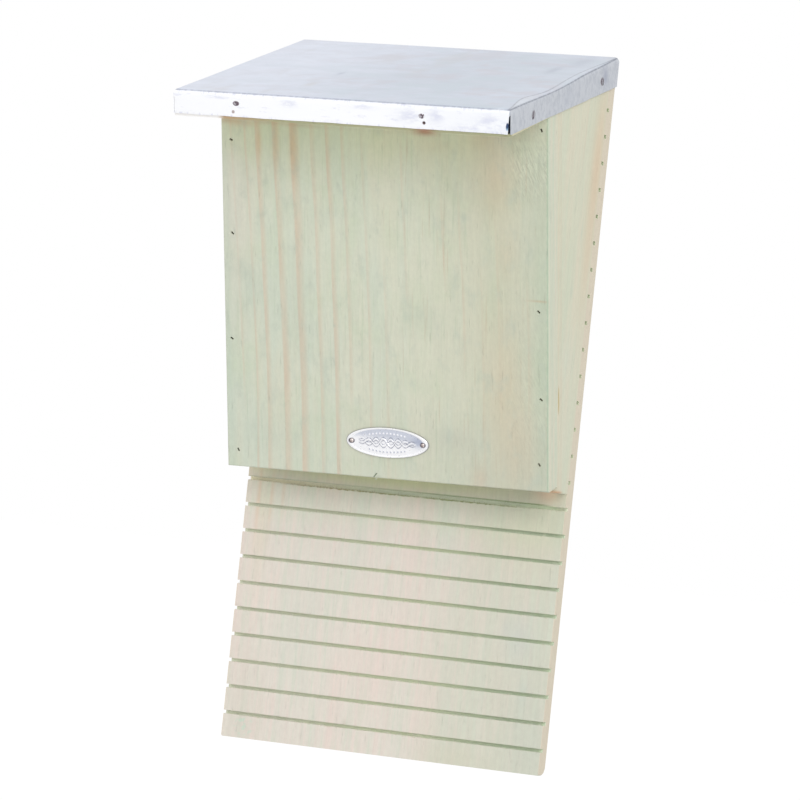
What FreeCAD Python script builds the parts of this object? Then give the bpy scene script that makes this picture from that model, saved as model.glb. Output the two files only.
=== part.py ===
import FreeCAD, Part
import os
import Sketcher

# A wooden bat box for a wall or a trunk: a wedge-shaped chamber with an open slit below,
# under a pent roof that is capped with folded sheet metal. Millimetres, +Z up.
# The wall plane is Y = 0 and the front faces -Y. The origin is the round hole of the
# keyhole slot in the rear face of the back board, on the wall plane.

doc = FreeCAD.newDocument("BatBox")
dims = doc.addObject("Spreadsheet::Sheet", "Dims")

SIZES = [
    # the box as a whole
    ("box_width", 220),
    ("lean_angle", 17.4),           # of the front board, and the slope of the roof
    ("tail_length", 178.5),         # back board below the side boards, for landing
    ("back_height", 441.6),         # tail's bottom edge to the roof, at the wall
    ("entry_gap", 20.5),            # slit between the back board and the front board
    ("front_raise", 2.6),           # front board's inner lower edge above the side boards' ends
    ("front_skew", 3.0),            # the lower end is sawn this much out of square
    # boards
    ("back_thickness", 12),
    ("front_thickness", 15),
    ("side_thickness", 15),
    ("roof_thickness", 16),
    ("roof_length", 190.8),         # underside, from the wall to the front edge
    ("edge_break", 0.7),
    ("foot_round", 6),              # worn lower rear edge of the tail
    # saw kerfs across the back board, for claws
    ("groove_pitch", 17),
    ("groove_height", 2.3),
    ("groove_depth", 4),
    # keyhole slot
    ("hanger_drop", 60),            # roof at the wall to the round hole
    ("keyhole_radius", 4.75),
    ("keyhole_slot_width", 4.8),
    ("keyhole_rise", 12),
    ("keyhole_lip", 2),
    ("keyhole_depth", 6),
    ("keyhole_corner", 0.5),        # the cutter's rounded corner, round the floor
    # folded sheet on the roof
    ("sheet_thickness", 0.6),
    ("bend_radius", 2.4),           # inside of the fold
    ("bend_clearance", 0.3),        # the board's edge is rounded by this much more
    ("front_flange", 15),
    ("back_flange", 17.8),          # the side flanges deepen towards the wall
    ("seam_gap", 0.8),              # open corner seam, at its top
    ("seam_foot", 2.4),             # and at its foot, where the corner is snipped
    ("punch_radius", 0.9),          # stray nail holes beside the nails of the sheet
    # flat brads of the boards, driven below the surface
    ("brad_width", 1.3),
    ("brad_thickness", 1.05),
    ("brad_head_width", 2.3),
    ("brad_head_thickness", 1.2),
    ("brad_head_depth", 0.8),
    ("brad_set", 1.0),              # head below the board's face
    ("brad_grip", 16),              # depth in the second board
    ("brad_point", 0.5),
    ("roof_nail_inset", 9.5),       # roof nails in from the outer sides
    # nails of the sheet
    ("sheet_nail_radius", 0.75),
    ("sheet_nail_head_radius", 1.4),
    ("sheet_nail_head_thickness", 0.5),
    ("sheet_nail_length", 16),
    # oval name plate
    ("plate_length", 56.7),
    ("plate_height", 20),
    ("plate_thickness", 1.3),
    ("plate_rim", 1.5),
    ("plate_recess", 0.5),
    ("plate_rise", 24),             # its centre above the front board's lower end
    ("plate_shift", 1.5),
    ("plate_tilt", 1.3),
    ("pin_inset", 4.0),
    ("pin_radius", 0.6),
    ("pin_head_radius", 1.5),
    ("pin_head_thickness", 0.7),
    ("pin_length", 9),
]

# Brads are shot by hand, so their places are uneven: in from the box's side, a share of the
# board's length up from its lower end, and the turn of the flat head in degrees.
FRONT_NAILS_LEFT = [(6.8, 0.888, -25), (6.4, 0.636, -48), (4.6, 0.348, -30), (7.6, 0.041, -62)]
FRONT_NAILS_RIGHT = [(4.8, 0.966, -66), (6.7, 0.489, -44), (5.1, 0.255, -36), (6.4, 0.079, -55)]
BACK_NAILS = [(7.2, 0.12, 84), (8.0, 0.5, 97), (7.4, 0.85, 88)]
# the same for the roof: a share of its length from the wall, or of the width from the middle
ROOF_NAILS_SIDE = [(0.115, 86), (0.44, 95)]
ROOF_NAILS_FRONT = [(-0.32, 4), (0.01, -3), (0.33, 2)]
# Sheet nails: share of the width or of the roof's length, then share of the flange's
# height down from the top, for the nail and for the stray hole beside it.
SHEET_NAILS_FRONT = [(-0.311, 0.45), (0.244, 0.48)]
SHEET_HOLES_FRONT = [(-0.320, 0.80), (0.2505, 0.75)]
SHEET_NAILS_SIDE = [(0.809, 0.57), (0.151, 0.60)]
SHEET_HOLES_SIDE = [(0.812, 0.77), (0.139, 0.80)]

for row, (alias, size) in enumerate(SIZES, start=1):
    dims.set(f"A{row}", str(size))
    dims.setAlias(f"A{row}", alias)
doc.recompute()

# Places worked out from the sheet, each an expression
LEAN = "Dims.lean_angle"
HALF = "Dims.box_width / 2"
HANGER = "(Dims.back_height - Dims.hanger_drop)"
FRONT_FOOT_Y = "(Dims.back_thickness + Dims.entry_gap)"
FRONT_FOOT_Z = "(Dims.tail_length + Dims.front_raise)"
FRONT_LENGTH = (f"((Dims.back_height - {FRONT_FOOT_Z}) * cos({LEAN})"
                f" - {FRONT_FOOT_Y} * sin({LEAN}))")
BACK_TOP = f"(Dims.back_height - Dims.back_thickness * tan({LEAN}))"
FRONT_TOP_Y = f"({FRONT_FOOT_Y} + {FRONT_LENGTH} * sin({LEAN}))"
FRONT_TOP_Z = f"({FRONT_FOOT_Z} + {FRONT_LENGTH} * cos({LEAN}))"
# along the roof's slope, from the wall to the middle of the front board
FRONT_SEAT = f"({FRONT_TOP_Y} / cos({LEAN}) + Dims.front_thickness / 2)"
SHEET_TOP = "(Dims.roof_thickness + Dims.sheet_thickness)"
SHEET_HALF = "(Dims.box_width / 2 + Dims.sheet_thickness)"
SHEET_FRONT = "(Dims.roof_length + Dims.sheet_thickness)"
SHEET_BEND = "(Dims.bend_radius + Dims.sheet_thickness)"


def origin_plane(body, role):
    return next(plane for plane in body.Origin.OriginFeatures if plane.Role == role)


def new_sketch(body, name, role, offset=None):
    """A sketch on one of the body's origin planes, moved along its normal by an expression."""
    sketch = body.newObject("Sketcher::SketchObject", name)
    sketch.AttachmentSupport = (origin_plane(body, role), [""])
    sketch.MapMode = "FlatFace"
    if offset:
        sketch.setExpression("AttachmentOffset.Base.z", offset)
    return sketch


def pin_point(sketch, geometry, point, place):
    """Fixes a sketch point at a place given as two expressions."""
    for kind, expression in zip(("DistanceX", "DistanceY"), place):
        value = sketch.evalExpression(expression)
        index = sketch.addConstraint(Sketcher.Constraint(kind, -1, 1, geometry, point, float(value)))
        sketch.setExpression(f"Constraints[{index}]", expression)


def vector_at(sketch, place):
    return FreeCAD.Vector(*(float(sketch.evalExpression(part)) for part in place), 0)


def draw_polygon(sketch, places):
    """A closed outline through corners given as pairs of expressions."""
    corners = [vector_at(sketch, place) for place in places]
    first = sketch.GeometryCount
    for here, there in zip(corners, corners[1:] + corners[:1]):
        sketch.addGeometry(Part.LineSegment(here, there))
    count = len(corners)
    for i, place in enumerate(places):
        pin_point(sketch, first + i, 1, place)
        after = first + (i + 1) % count
        sketch.addConstraint(Sketcher.Constraint("Coincident", first + i, 2, after, 1))


def draw_circles(sketch, places, radius):
    size = float(sketch.evalExpression(radius))
    for place in places:
        circle = sketch.addGeometry(Part.Circle(vector_at(sketch, place), FreeCAD.Vector(0, 0, 1), size))
        pin_point(sketch, circle, 3, place)
        index = sketch.addConstraint(Sketcher.Constraint("Radius", circle, size))
        sketch.setExpression(f"Constraints[{index}]", radius)


def draw_slots(sketch, places, width, thickness):
    """Small rectangles about centres, each turned by its own angle in degrees."""
    for x, y, turn in places:
        corners = []
        for across, up in ((-1, -1), (1, -1), (1, 1), (-1, 1)):
            out = f"{across} * {width} / 2"
            rise = f"{up} * {thickness} / 2"
            corners.append((f"{x} + {out} * cos({turn}) - {rise} * sin({turn})",
                            f"{y} + {out} * sin({turn}) + {rise} * cos({turn})"))
        draw_polygon(sketch, corners)


def draw_ellipse(sketch, place, length, height, tilt):
    """An ellipse about a place, its long axis turned by tilt degrees from level."""
    centre = vector_at(sketch, place)
    turn = FreeCAD.Rotation(FreeCAD.Vector(0, 0, 1), float(sketch.evalExpression(tilt)))
    long_end = centre + turn.multVec(FreeCAD.Vector(float(sketch.evalExpression(length)) / 2, 0, 0))
    short_end = centre + turn.multVec(FreeCAD.Vector(0, float(sketch.evalExpression(height)) / 2, 0))
    ellipse = sketch.addGeometry(Part.Ellipse(long_end, short_end, centre))
    sketch.exposeInternalGeometry(ellipse)
    pin_point(sketch, ellipse, 3, place)
    for axis, size in ((ellipse + 1, length), (ellipse + 2, height)):
        value = float(sketch.evalExpression(size))
        index = sketch.addConstraint(Sketcher.Constraint("Distance", axis, value))
        sketch.setExpression(f"Constraints[{index}]", size)
    long_axis = sketch.Geometry[ellipse + 1]
    to_right = long_axis.EndPoint.x > long_axis.StartPoint.x
    index = sketch.addConstraint(Sketcher.Constraint("Angle", ellipse + 1, 0.0))
    sketch.setExpression(f"Constraints[{index}]", tilt if to_right else f"{tilt} - 180")


def new_body(label, angle=None, y="0", z="0"):
    """A body in the frame of the hanger; y and z place its own origin, angle leans it forward."""
    body = doc.addObject("PartDesign::Body", label)
    body.AllowCompound = True
    body.Placement.Rotation = FreeCAD.Rotation(FreeCAD.Vector(1, 0, 0), 1)
    body.setExpression("Placement.Rotation.Angle", angle or "0")
    body.setExpression("Placement.Base.y", y)
    body.setExpression("Placement.Base.z", f"{z} - {HANGER}")
    return body


def roof_body(label):
    """A body in the roof's frame: Y along the slope, origin under the board at the wall."""
    return new_body(label, LEAN, "0", "Dims.back_height")


def front_body(label):
    """A body in the front board's frame: Z up the board, origin on its inner lower edge."""
    return new_body(label, LEAN, f"-{FRONT_FOOT_Y}", FRONT_FOOT_Z)


def pad(body, sketch, length, both_ways=False, reverse=False):
    feature = body.newObject("PartDesign::Pad", sketch.Name + "_pad")
    feature.Profile = sketch
    feature.setExpression("Length", length)
    feature.SideType = "Symmetric" if both_ways else "One side"
    feature.Reversed = reverse
    doc.recompute()
    return feature


def pocket(body, sketch, depth, both_ways=False, reverse=False):
    before = body.Shape.Volume
    feature = body.newObject("PartDesign::Pocket", sketch.Name + "_pocket")
    feature.Profile = sketch
    feature.setExpression("Length", depth)
    feature.SideType = "Symmetric" if both_ways else "One side"
    feature.Reversed = reverse
    doc.recompute()
    if body.Shape.Volume >= before:
        raise ValueError(f"{sketch.Name} cuts nothing")
    return feature


def dress(body, kind, base, test, size):
    """A chamfer or fillet on the edges of base whose middle point and direction pass the test."""
    names = []
    for number, edge in enumerate(base.Shape.Edges, start=1):
        middle = edge.valueAt((edge.FirstParameter + edge.LastParameter) / 2)
        if test(middle, edge):
            names.append(f"Edge{number}")
    feature = body.newObject(f"PartDesign::{kind}", f"{base.Name}_{kind.lower()}")
    feature.Base = (base, names)
    feature.setExpression("Radius" if kind == "Fillet" else "Size", size)
    doc.recompute()
    return feature


def value(expression):
    return float(dims.evalExpression(expression))


def near(a, b):
    return abs(a - b) < 0.001


def runs_along(edge, axis):
    if not isinstance(edge.Curve, Part.Line):
        return False
    return abs(abs(edge.Curve.Direction.dot(axis)) - 1) < 0.0001


X_AXIS = FreeCAD.Vector(1, 0, 0)
Y_AXIS = FreeCAD.Vector(0, 1, 0)
Z_AXIS = FreeCAD.Vector(0, 0, 1)


def make_back_board():
    """The tall rear board: bevelled to the roof, worn at its foot, grooved from end to end."""
    body = new_body("back_board_blank")
    outline = new_sketch(body, "back_outline", "YZ_Plane")
    draw_polygon(outline, [("0", "0"), ("0", "Dims.back_height"), ("-Dims.back_thickness", BACK_TOP),
                           ("-Dims.back_thickness", "0")])
    board = pad(body, outline, "Dims.box_width", both_ways=True)
    worn = dress(body, "Fillet", board, lambda p, e: runs_along(e, X_AXIS) and near(p.z, 0) and near(p.y, 0),
                 "Dims.foot_round")
    dress(body, "Chamfer", worn, lambda p, e: runs_along(e, Z_AXIS) and near(p.y, 0), "Dims.edge_break")

    kerf = new_sketch(body, "kerf", "YZ_Plane")
    floor = "-Dims.back_thickness + Dims.groove_depth"
    outside = "-Dims.back_thickness - 1"
    low = "Dims.groove_pitch - Dims.groove_height"
    draw_polygon(kerf, [(outside, low), (floor, low), (floor, "Dims.groove_pitch"),
                        (outside, "Dims.groove_pitch")])
    groove = pocket(body, kerf, "Dims.box_width + 2", both_ways=True)
    ladder = body.newObject("PartDesign::LinearPattern", "ladder")
    ladder.Originals = [groove]
    ladder.Direction = (kerf, ["V_Axis"])
    ladder.Mode = "Spacing"
    ladder.setExpression("Offset", "Dims.groove_pitch")
    ladder.setExpression("Occurrences", f"floor(({BACK_TOP} - Dims.groove_pitch / 2) / Dims.groove_pitch)")
    body.Tip = ladder
    doc.recompute()

    # keyhole: a round entry, a narrow slot above it, and a wide undercut behind the lip
    half_slot = "Dims.keyhole_slot_width / 2"
    slot_top = f"{HANGER} + Dims.keyhole_rise"
    entry = new_sketch(body, "keyhole_entry", "XZ_Plane")
    draw_circles(entry, [("0", HANGER)], "Dims.keyhole_radius")
    pocket(body, entry, "Dims.keyhole_depth", reverse=True)
    slot = new_sketch(body, "keyhole_slot", "XZ_Plane")
    draw_polygon(slot, [(f"-{half_slot}", HANGER), (half_slot, HANGER), (half_slot, slot_top),
                        (f"-{half_slot}", slot_top)])
    pocket(body, slot, "Dims.keyhole_lip", reverse=True)
    slot_end = new_sketch(body, "keyhole_slot_end", "XZ_Plane")
    draw_circles(slot_end, [("0", slot_top)], half_slot)
    pocket(body, slot_end, "Dims.keyhole_lip", reverse=True)
    undercut = new_sketch(body, "keyhole_undercut", "XZ_Plane", "Dims.keyhole_lip")
    wide = "Dims.keyhole_radius"
    draw_polygon(undercut, [(f"-{wide}", HANGER), (wide, HANGER), (wide, slot_top), (f"-{wide}", slot_top)])
    pocket(body, undercut, "Dims.keyhole_depth - Dims.keyhole_lip", reverse=True)
    undercut_end = new_sketch(body, "keyhole_undercut_end", "XZ_Plane", "Dims.keyhole_lip")
    draw_circles(undercut_end, [("0", slot_top)], wide)
    hollow = pocket(body, undercut_end, "Dims.keyhole_depth - Dims.keyhole_lip", reverse=True)
    floor_level = -value("Dims.keyhole_depth")
    dress(body, "Fillet", hollow, lambda p, e: near(p.y, floor_level) and abs(p.x) <= value(wide) + 0.001,
          "Dims.keyhole_corner")
    return body


def make_side_board(label, side):
    """A four-sided board between the back board and the leaning front board."""
    body = new_body(f"{label}_blank")
    inner = f"{HALF} - Dims.side_thickness"
    outline = new_sketch(body, f"{label}_outline", "YZ_Plane", inner if side > 0 else f"-({inner})")
    foot_front = f"-({FRONT_FOOT_Y} - Dims.front_raise * tan({LEAN}))"
    draw_polygon(outline, [("-Dims.back_thickness", "Dims.tail_length"), ("-Dims.back_thickness", BACK_TOP),
                           (f"-{FRONT_TOP_Y}", FRONT_TOP_Z), (foot_front, "Dims.tail_length")])
    board = pad(body, outline, "Dims.side_thickness", reverse=side < 0)
    foot = value("Dims.tail_length")
    dress(body, "Chamfer", board, lambda p, e: near(p.z, foot), "Dims.edge_break")
    return body


def make_front_board():
    """The leaning board, as wide as the box, over the front edges of the side boards."""
    body = front_body("front_board_blank")
    outline = new_sketch(body, "front_outline", "XZ_Plane")
    draw_polygon(outline, [(f"-{HALF}", "-Dims.front_skew / 2"), (HALF, "Dims.front_skew / 2"),
                           (HALF, FRONT_LENGTH), (f"-{HALF}", FRONT_LENGTH)])
    board = pad(body, outline, "Dims.front_thickness")
    face = -value("Dims.front_thickness")
    top = value(FRONT_LENGTH)
    dress(body, "Chamfer", board, lambda p, e: near(p.y, face) and not near(p.z, top), "Dims.edge_break")
    return body


def make_roof_board():
    """The sloping board, cut to the wall at its back, its upper edges rounded for the sheet."""
    body = roof_body("roof_board_blank")
    outline = new_sketch(body, "roof_outline", "YZ_Plane")
    top_back = f"Dims.roof_thickness * tan({LEAN})"
    draw_polygon(outline, [("0", "0"), (top_back, "Dims.roof_thickness"),
                           ("-Dims.roof_length", "Dims.roof_thickness"), ("-Dims.roof_length", "0")])
    board = pad(body, outline, "Dims.box_width", both_ways=True)
    half = value(HALF)
    front = -value("Dims.roof_length")
    top = value("Dims.roof_thickness")

    def under_the_fold(p, edge):
        return near(p.z, top) and (near(abs(p.x), half) or near(p.y, front))

    dress(body, "Fillet", board, under_the_fold, "Dims.bend_radius + Dims.bend_clearance")
    return body


def make_roof_sheet():
    """One folded sheet: a flat top, a front flange and two side flanges that deepen to the
    wall, bent over the board's edges, with a snipped open seam at each front corner."""
    body = roof_body("roof_sheet_blank")
    outline = new_sketch(body, "sheet_outline", "YZ_Plane")
    back_low = f"{SHEET_TOP} - Dims.back_flange"
    draw_polygon(outline, [(f"({back_low}) * tan({LEAN})", back_low),
                           (f"{SHEET_TOP} * tan({LEAN})", SHEET_TOP),
                           (f"-{SHEET_FRONT}", SHEET_TOP),
                           (f"-{SHEET_FRONT}", f"{SHEET_TOP} - Dims.front_flange")])
    block = pad(body, outline, f"2 * {SHEET_HALF}", both_ways=True)
    half = value(SHEET_HALF)
    front = -value(SHEET_FRONT)
    top = value(SHEET_TOP)

    def folded(p, edge):
        return near(p.z, top) and (near(abs(p.x), half) or near(p.y, front))

    bent = dress(body, "Fillet", block, folded, SHEET_BEND)
    open_faces = []
    for number, face in enumerate(bent.Shape.Faces, start=1):
        normal = face.normalAt(0, 0)
        if isinstance(face.Surface, Part.Plane) and (normal.z < -0.5 or normal.y > 0.5):
            open_faces.append(f"Face{number}")
    shell = body.newObject("PartDesign::Thickness", "sheet_shell")
    shell.Base = (bent, open_faces)
    shell.Reversed = True
    shell.setExpression("Value", "Dims.sheet_thickness")
    doc.recompute()

    # corner seams: the front flange ends short of the side flanges
    seam = new_sketch(body, "corner_seams", "XZ_Plane", f"{SHEET_FRONT} - 2 * Dims.sheet_thickness")
    seam_top = f"{SHEET_TOP} - {SHEET_BEND}"
    seam_low = f"{SHEET_TOP} - Dims.front_flange - 1"
    for mirror in ("", "-"):
        draw_polygon(seam, [(f"{mirror}({HALF})", seam_low), (f"{mirror}({HALF})", seam_top),
                            (f"{mirror}({HALF} - Dims.seam_gap)", seam_top),
                            (f"{mirror}({HALF} - Dims.seam_foot)", seam_low)])
    pocket(body, seam, "4 * Dims.sheet_thickness", reverse=True)
    holes = new_sketch(body, "stray_holes_front", "XZ_Plane", f"{SHEET_FRONT} - 2 * Dims.sheet_thickness")
    draw_circles(holes, [front_flange_place(*place) for place in SHEET_HOLES_FRONT], "Dims.punch_radius")
    pocket(body, holes, "4 * Dims.sheet_thickness", reverse=True)
    holes = new_sketch(body, "stray_holes_side", "YZ_Plane")
    draw_circles(holes, [side_flange_place(*place) for place in SHEET_HOLES_SIDE], "Dims.punch_radius")
    pocket(body, holes, f"2 * {SHEET_HALF} + 2", both_ways=True)
    return body


def front_flange_place(share, drop):
    return (f"{share} * Dims.box_width", f"{SHEET_TOP} - {drop} * Dims.front_flange")


def side_flange_place(share, drop):
    return (f"-{share} * Dims.roof_length", f"{SHEET_TOP} - {drop} * Dims.front_flange")


def make_brads(body, role, face, places, length, into_normal=False):
    """A group of flat brads shot through one face, with chisel points, their heads set below
    the face; and the marks that the driver leaves over them, as a second body to cut with."""
    depth = f"{face} {'+' if into_normal else '-'} Dims.brad_set"
    shanks = new_sketch(body, f"{body.Name}_shanks", role, depth)
    draw_slots(shanks, places, "Dims.brad_width", "Dims.brad_thickness")
    shank = pad(body, shanks, length, reverse=not into_normal)
    tip = value(length) - 0.001
    normal = {"XY_Plane": Z_AXIS, "XZ_Plane": -Y_AXIS, "YZ_Plane": X_AXIS}[role]
    ahead = normal if into_normal else -normal
    face_level = value(depth) if into_normal else -value(depth)

    def at_point(middle, edge):
        on_end = ahead.dot(middle) - face_level > tip
        return on_end and near(edge.Length, value("Dims.brad_width"))

    dress(body, "Chamfer", shank, at_point, "Dims.brad_point")
    heads = new_sketch(body, f"{body.Name}_heads", role, depth)
    draw_slots(heads, places, "Dims.brad_head_width", "Dims.brad_head_thickness")
    pad(body, heads, "Dims.brad_head_depth", reverse=not into_normal)

    marks = new_body(f"{body.Name}_marks")
    for part in ("Rotation.Angle", "Base.y", "Base.z"):
        marks.setExpression(f"Placement.{part}", f"{body.Name}.Placement.{part}")
    dents = new_sketch(marks, f"{body.Name}_dents", role, face)
    draw_slots(dents, places, "Dims.brad_head_width", "Dims.brad_head_thickness")
    pad(marks, dents, "Dims.brad_set", reverse=not into_normal)
    return body, marks


def make_round_nails(body, role, face, places, kind, length, into_normal=False):
    """A group of small round nails through one face, with their heads lying on it. kind is
    the prefix of their sizes."""
    shanks = new_sketch(body, f"{body.Name}_shanks", role, face)
    draw_circles(shanks, places, f"Dims.{kind}_radius")
    pad(body, shanks, length, reverse=not into_normal)
    heads = new_sketch(body, f"{body.Name}_heads", role, face)
    draw_circles(heads, places, f"Dims.{kind}_head_radius")
    pad(body, heads, f"Dims.{kind}_head_thickness", reverse=into_normal)
    return body


def make_front_nails(label, side, places):
    """Brads through the front board into the front edge of a side board."""
    centres = [(f"{side} * ({HALF} - {inset})", f"{share} * {FRONT_LENGTH}", turn)
               for inset, share, turn in places]
    return make_brads(front_body(label), "XZ_Plane", "Dims.front_thickness", centres,
                      "Dims.front_thickness + Dims.brad_grip")


def make_back_nails(label, side):
    """Brads through the back board into the rear edge of a side board."""
    rise = f"({BACK_TOP} - Dims.tail_length)"
    centres = [(f"{side} * ({HALF} - {inset})", f"Dims.tail_length + {share} * {rise}", turn)
               for inset, share, turn in BACK_NAILS]
    return make_brads(new_body(label), "XZ_Plane", "0", centres,
                      "Dims.back_thickness + Dims.brad_grip", into_normal=True)


def make_roof_nails(label, centres):
    """Brads through the roof board, hidden under the sheet."""
    return make_brads(roof_body(label), "XY_Plane", "Dims.roof_thickness", centres,
                      "Dims.roof_thickness + Dims.brad_grip")


def side_roof_nails(side):
    return [(f"{side} * ({HALF} - Dims.roof_nail_inset)", f"-{share} * Dims.roof_length", turn)
            for share, turn in ROOF_NAILS_SIDE]


def front_roof_nails():
    return [(f"{share} * Dims.box_width", f"-{FRONT_SEAT}", turn) for share, turn in ROOF_NAILS_FRONT]


def make_name_plate():
    """A thin oval plate with a raised rim, pinned to the front board near its lower end."""
    body = front_body("name_plate_blank")
    centre = ("Dims.plate_shift", "Dims.plate_rise")
    outline = new_sketch(body, "plate_outline", "XZ_Plane", "Dims.front_thickness")
    draw_ellipse(outline, centre, "Dims.plate_length", "Dims.plate_height", "Dims.plate_tilt")
    pad(body, outline, "Dims.plate_thickness")
    field = new_sketch(body, "plate_field", "XZ_Plane",
                       "Dims.front_thickness + Dims.plate_thickness - Dims.plate_recess")
    draw_ellipse(field, centre, "Dims.plate_length - 2 * Dims.plate_rim",
                 "Dims.plate_height - 2 * Dims.plate_rim", "Dims.plate_tilt")
    pocket(body, field, "Dims.plate_recess + 1", reverse=True)
    return body


def make_plate_pins():
    body = front_body("name_plate_pins")
    reach = "(Dims.plate_length / 2 - Dims.pin_inset)"
    centres = [(f"Dims.plate_shift + {sign} * {reach} * cos(Dims.plate_tilt)",
                f"Dims.plate_rise + {sign} * {reach} * sin(Dims.plate_tilt)") for sign in (-1, 1)]
    face = "Dims.front_thickness + Dims.plate_thickness - Dims.plate_recess"
    return make_round_nails(body, "XZ_Plane", face, centres, "pin", "Dims.pin_length")


def drill(label, blank, fasteners):
    """The board or sheet with the holes that its own nails make."""
    if len(fasteners) == 1:
        tool = fasteners[0]
    else:
        tool = doc.addObject("Part::Compound", f"{label}_fasteners")
        tool.Links = fasteners
    drilled = doc.addObject("Part::Cut", label)
    drilled.Base = blank
    drilled.Tool = tool
    return drilled


front_left, front_left_marks = make_front_nails("front_nails_left", -1, FRONT_NAILS_LEFT)
front_right, front_right_marks = make_front_nails("front_nails_right", 1, FRONT_NAILS_RIGHT)
back_left, back_left_marks = make_back_nails("back_nails_left", -1)
back_right, back_right_marks = make_back_nails("back_nails_right", 1)
roof_left, roof_left_marks = make_roof_nails("roof_nails_left", side_roof_nails(-1))
roof_right, roof_right_marks = make_roof_nails("roof_nails_right", side_roof_nails(1))
roof_front, roof_front_marks = make_roof_nails("roof_nails_front", front_roof_nails())
side_places = [side_flange_place(*place) for place in SHEET_NAILS_SIDE]
front_places = [front_flange_place(*place) for place in SHEET_NAILS_FRONT]
sheet_nails = [
    make_round_nails(roof_body("sheet_nails_front"), "XZ_Plane", SHEET_FRONT, front_places,
                     "sheet_nail", "Dims.sheet_nail_length"),
    make_round_nails(roof_body("sheet_nails_left"), "YZ_Plane", f"-{SHEET_HALF}", side_places,
                     "sheet_nail", "Dims.sheet_nail_length", into_normal=True),
    make_round_nails(roof_body("sheet_nails_right"), "YZ_Plane", SHEET_HALF, side_places,
                     "sheet_nail", "Dims.sheet_nail_length"),
]
plate_pins = make_plate_pins()

nodes = [
    drill("back_board", make_back_board(), [back_left, back_right, back_left_marks, back_right_marks]),
    drill("left_side_board", make_side_board("left_side_board", -1), [front_left, back_left, roof_left]),
    drill("right_side_board", make_side_board("right_side_board", 1), [front_right, back_right, roof_right]),
    drill("front_board", make_front_board(),
          [front_left, front_right, front_left_marks, front_right_marks, roof_front, plate_pins]),
    drill("roof_board", make_roof_board(),
          [roof_left, roof_right, roof_front, roof_left_marks, roof_right_marks, roof_front_marks]
          + sheet_nails),
    drill("roof_sheet", make_roof_sheet(), sheet_nails),
    drill("name_plate", make_name_plate(), [plate_pins]),
    plate_pins, front_left, front_right, back_left, back_right, roof_left, roof_right, roof_front,
] + sheet_nails
doc.recompute()

for item in doc.Objects:
    if {"Invalid", "Error"} & set(item.State):
        raise ValueError(f"{item.Label} failed: {item.State}")
for node in nodes:
    if node.Shape.isNull() or not node.Shape.isValid():
        raise ValueError(f"{node.Label} has no valid shape")

os.makedirs("parts", exist_ok=True)
for node in nodes:
    node.Shape.exportStep(f"parts/{node.Label}.step")
    print(node.Label, len(node.Shape.Solids), round(node.Shape.Volume), node.Shape.BoundBox)
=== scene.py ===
import math

import bmesh
import bpy
from mathutils import Euler, Matrix, Vector, noise


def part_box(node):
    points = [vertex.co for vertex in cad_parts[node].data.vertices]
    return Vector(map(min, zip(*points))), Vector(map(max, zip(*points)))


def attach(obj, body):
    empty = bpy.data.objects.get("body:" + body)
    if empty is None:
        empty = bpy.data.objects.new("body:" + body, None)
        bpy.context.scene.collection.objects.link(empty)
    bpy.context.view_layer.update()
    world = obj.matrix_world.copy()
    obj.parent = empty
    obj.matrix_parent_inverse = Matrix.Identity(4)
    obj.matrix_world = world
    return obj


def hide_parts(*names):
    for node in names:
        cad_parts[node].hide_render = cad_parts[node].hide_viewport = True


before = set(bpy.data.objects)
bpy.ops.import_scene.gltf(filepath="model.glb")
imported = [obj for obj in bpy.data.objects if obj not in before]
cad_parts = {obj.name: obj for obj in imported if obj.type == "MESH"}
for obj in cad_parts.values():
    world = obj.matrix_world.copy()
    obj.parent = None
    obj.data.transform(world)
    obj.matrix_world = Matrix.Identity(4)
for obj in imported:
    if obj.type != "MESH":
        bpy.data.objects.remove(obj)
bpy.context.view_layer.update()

MM = 0.001
QUARTER = math.pi / 2
LEAN = math.radians(17.4)       # lean of the front board and slope of the roof
SLOPE = math.tan(LEAN)
TAIL_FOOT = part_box("back_board")[0].z
HALF = 110.0                    # half of the box's width, mm
FOOT_OUT, FOOT_UP = 32.5, 181.1  # front board's inner lower edge, mm from wall and tail's foot
ROOF_UP = 441.6                 # roof board's underside at the wall, mm over the tail's foot

# Frames of the boards, from millimetres in the board's own axes to metres in the row's
ROOF_SEAT = Vector((0, 0, TAIL_FOOT + ROOF_UP * MM))
FRONT_SEAT = Vector((0, -FOOT_OUT * MM, TAIL_FOOT + FOOT_UP * MM))
WALL_SEAT = Vector((0, 0, TAIL_FOOT))
ROOF = Matrix.Translation(ROOF_SEAT) @ Matrix.Rotation(LEAN, 4, "X") @ Matrix.Scale(MM, 4)
FRONT = Matrix.Translation(FRONT_SEAT) @ Matrix.Rotation(LEAN, 4, "X") @ Matrix.Scale(MM, 4)
WALL = Matrix.Translation(WALL_SEAT) @ Matrix.Scale(MM, 4)

# Folded sheet, mm in the roof's frame
SHEET_TOP = 16.6
SHEET_HALF = 110.6
SHEET_FRONT = 191.4
SHEET_THICKNESS = 0.6
SHEET_BEND = 3.0                        # outer radius of the folds
TOP_EDGE = SHEET_HALF - SHEET_BEND      # where the side folds start, across
FRONT_EDGE = SHEET_FRONT - SHEET_BEND   # where the front fold starts, along the slope
SHOULDER = SHEET_TOP - SHEET_BEND       # height where the flanges start
FRONT_FLANGE = 15.0
BACK_FLANGE = 17.8
ROOF_LENGTH = 190.8
# Nails and stray holes: share of the width or of the roof's length, share of the front flange down
FRONT_NAILS = [(-0.311, 0.45), (0.244, 0.48)]
FRONT_HOLES = [(-0.320, 0.80), (0.2505, 0.75)]
SIDE_NAILS = [(0.809, 0.57), (0.151, 0.60)]
SIDE_HOLES = [(0.812, 0.77), (0.139, 0.80)]
HOLE_RADIUS = 0.9

# Front board and oval plate, mm in the front board's frame
FRONT_THICKNESS = 15.0
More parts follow.
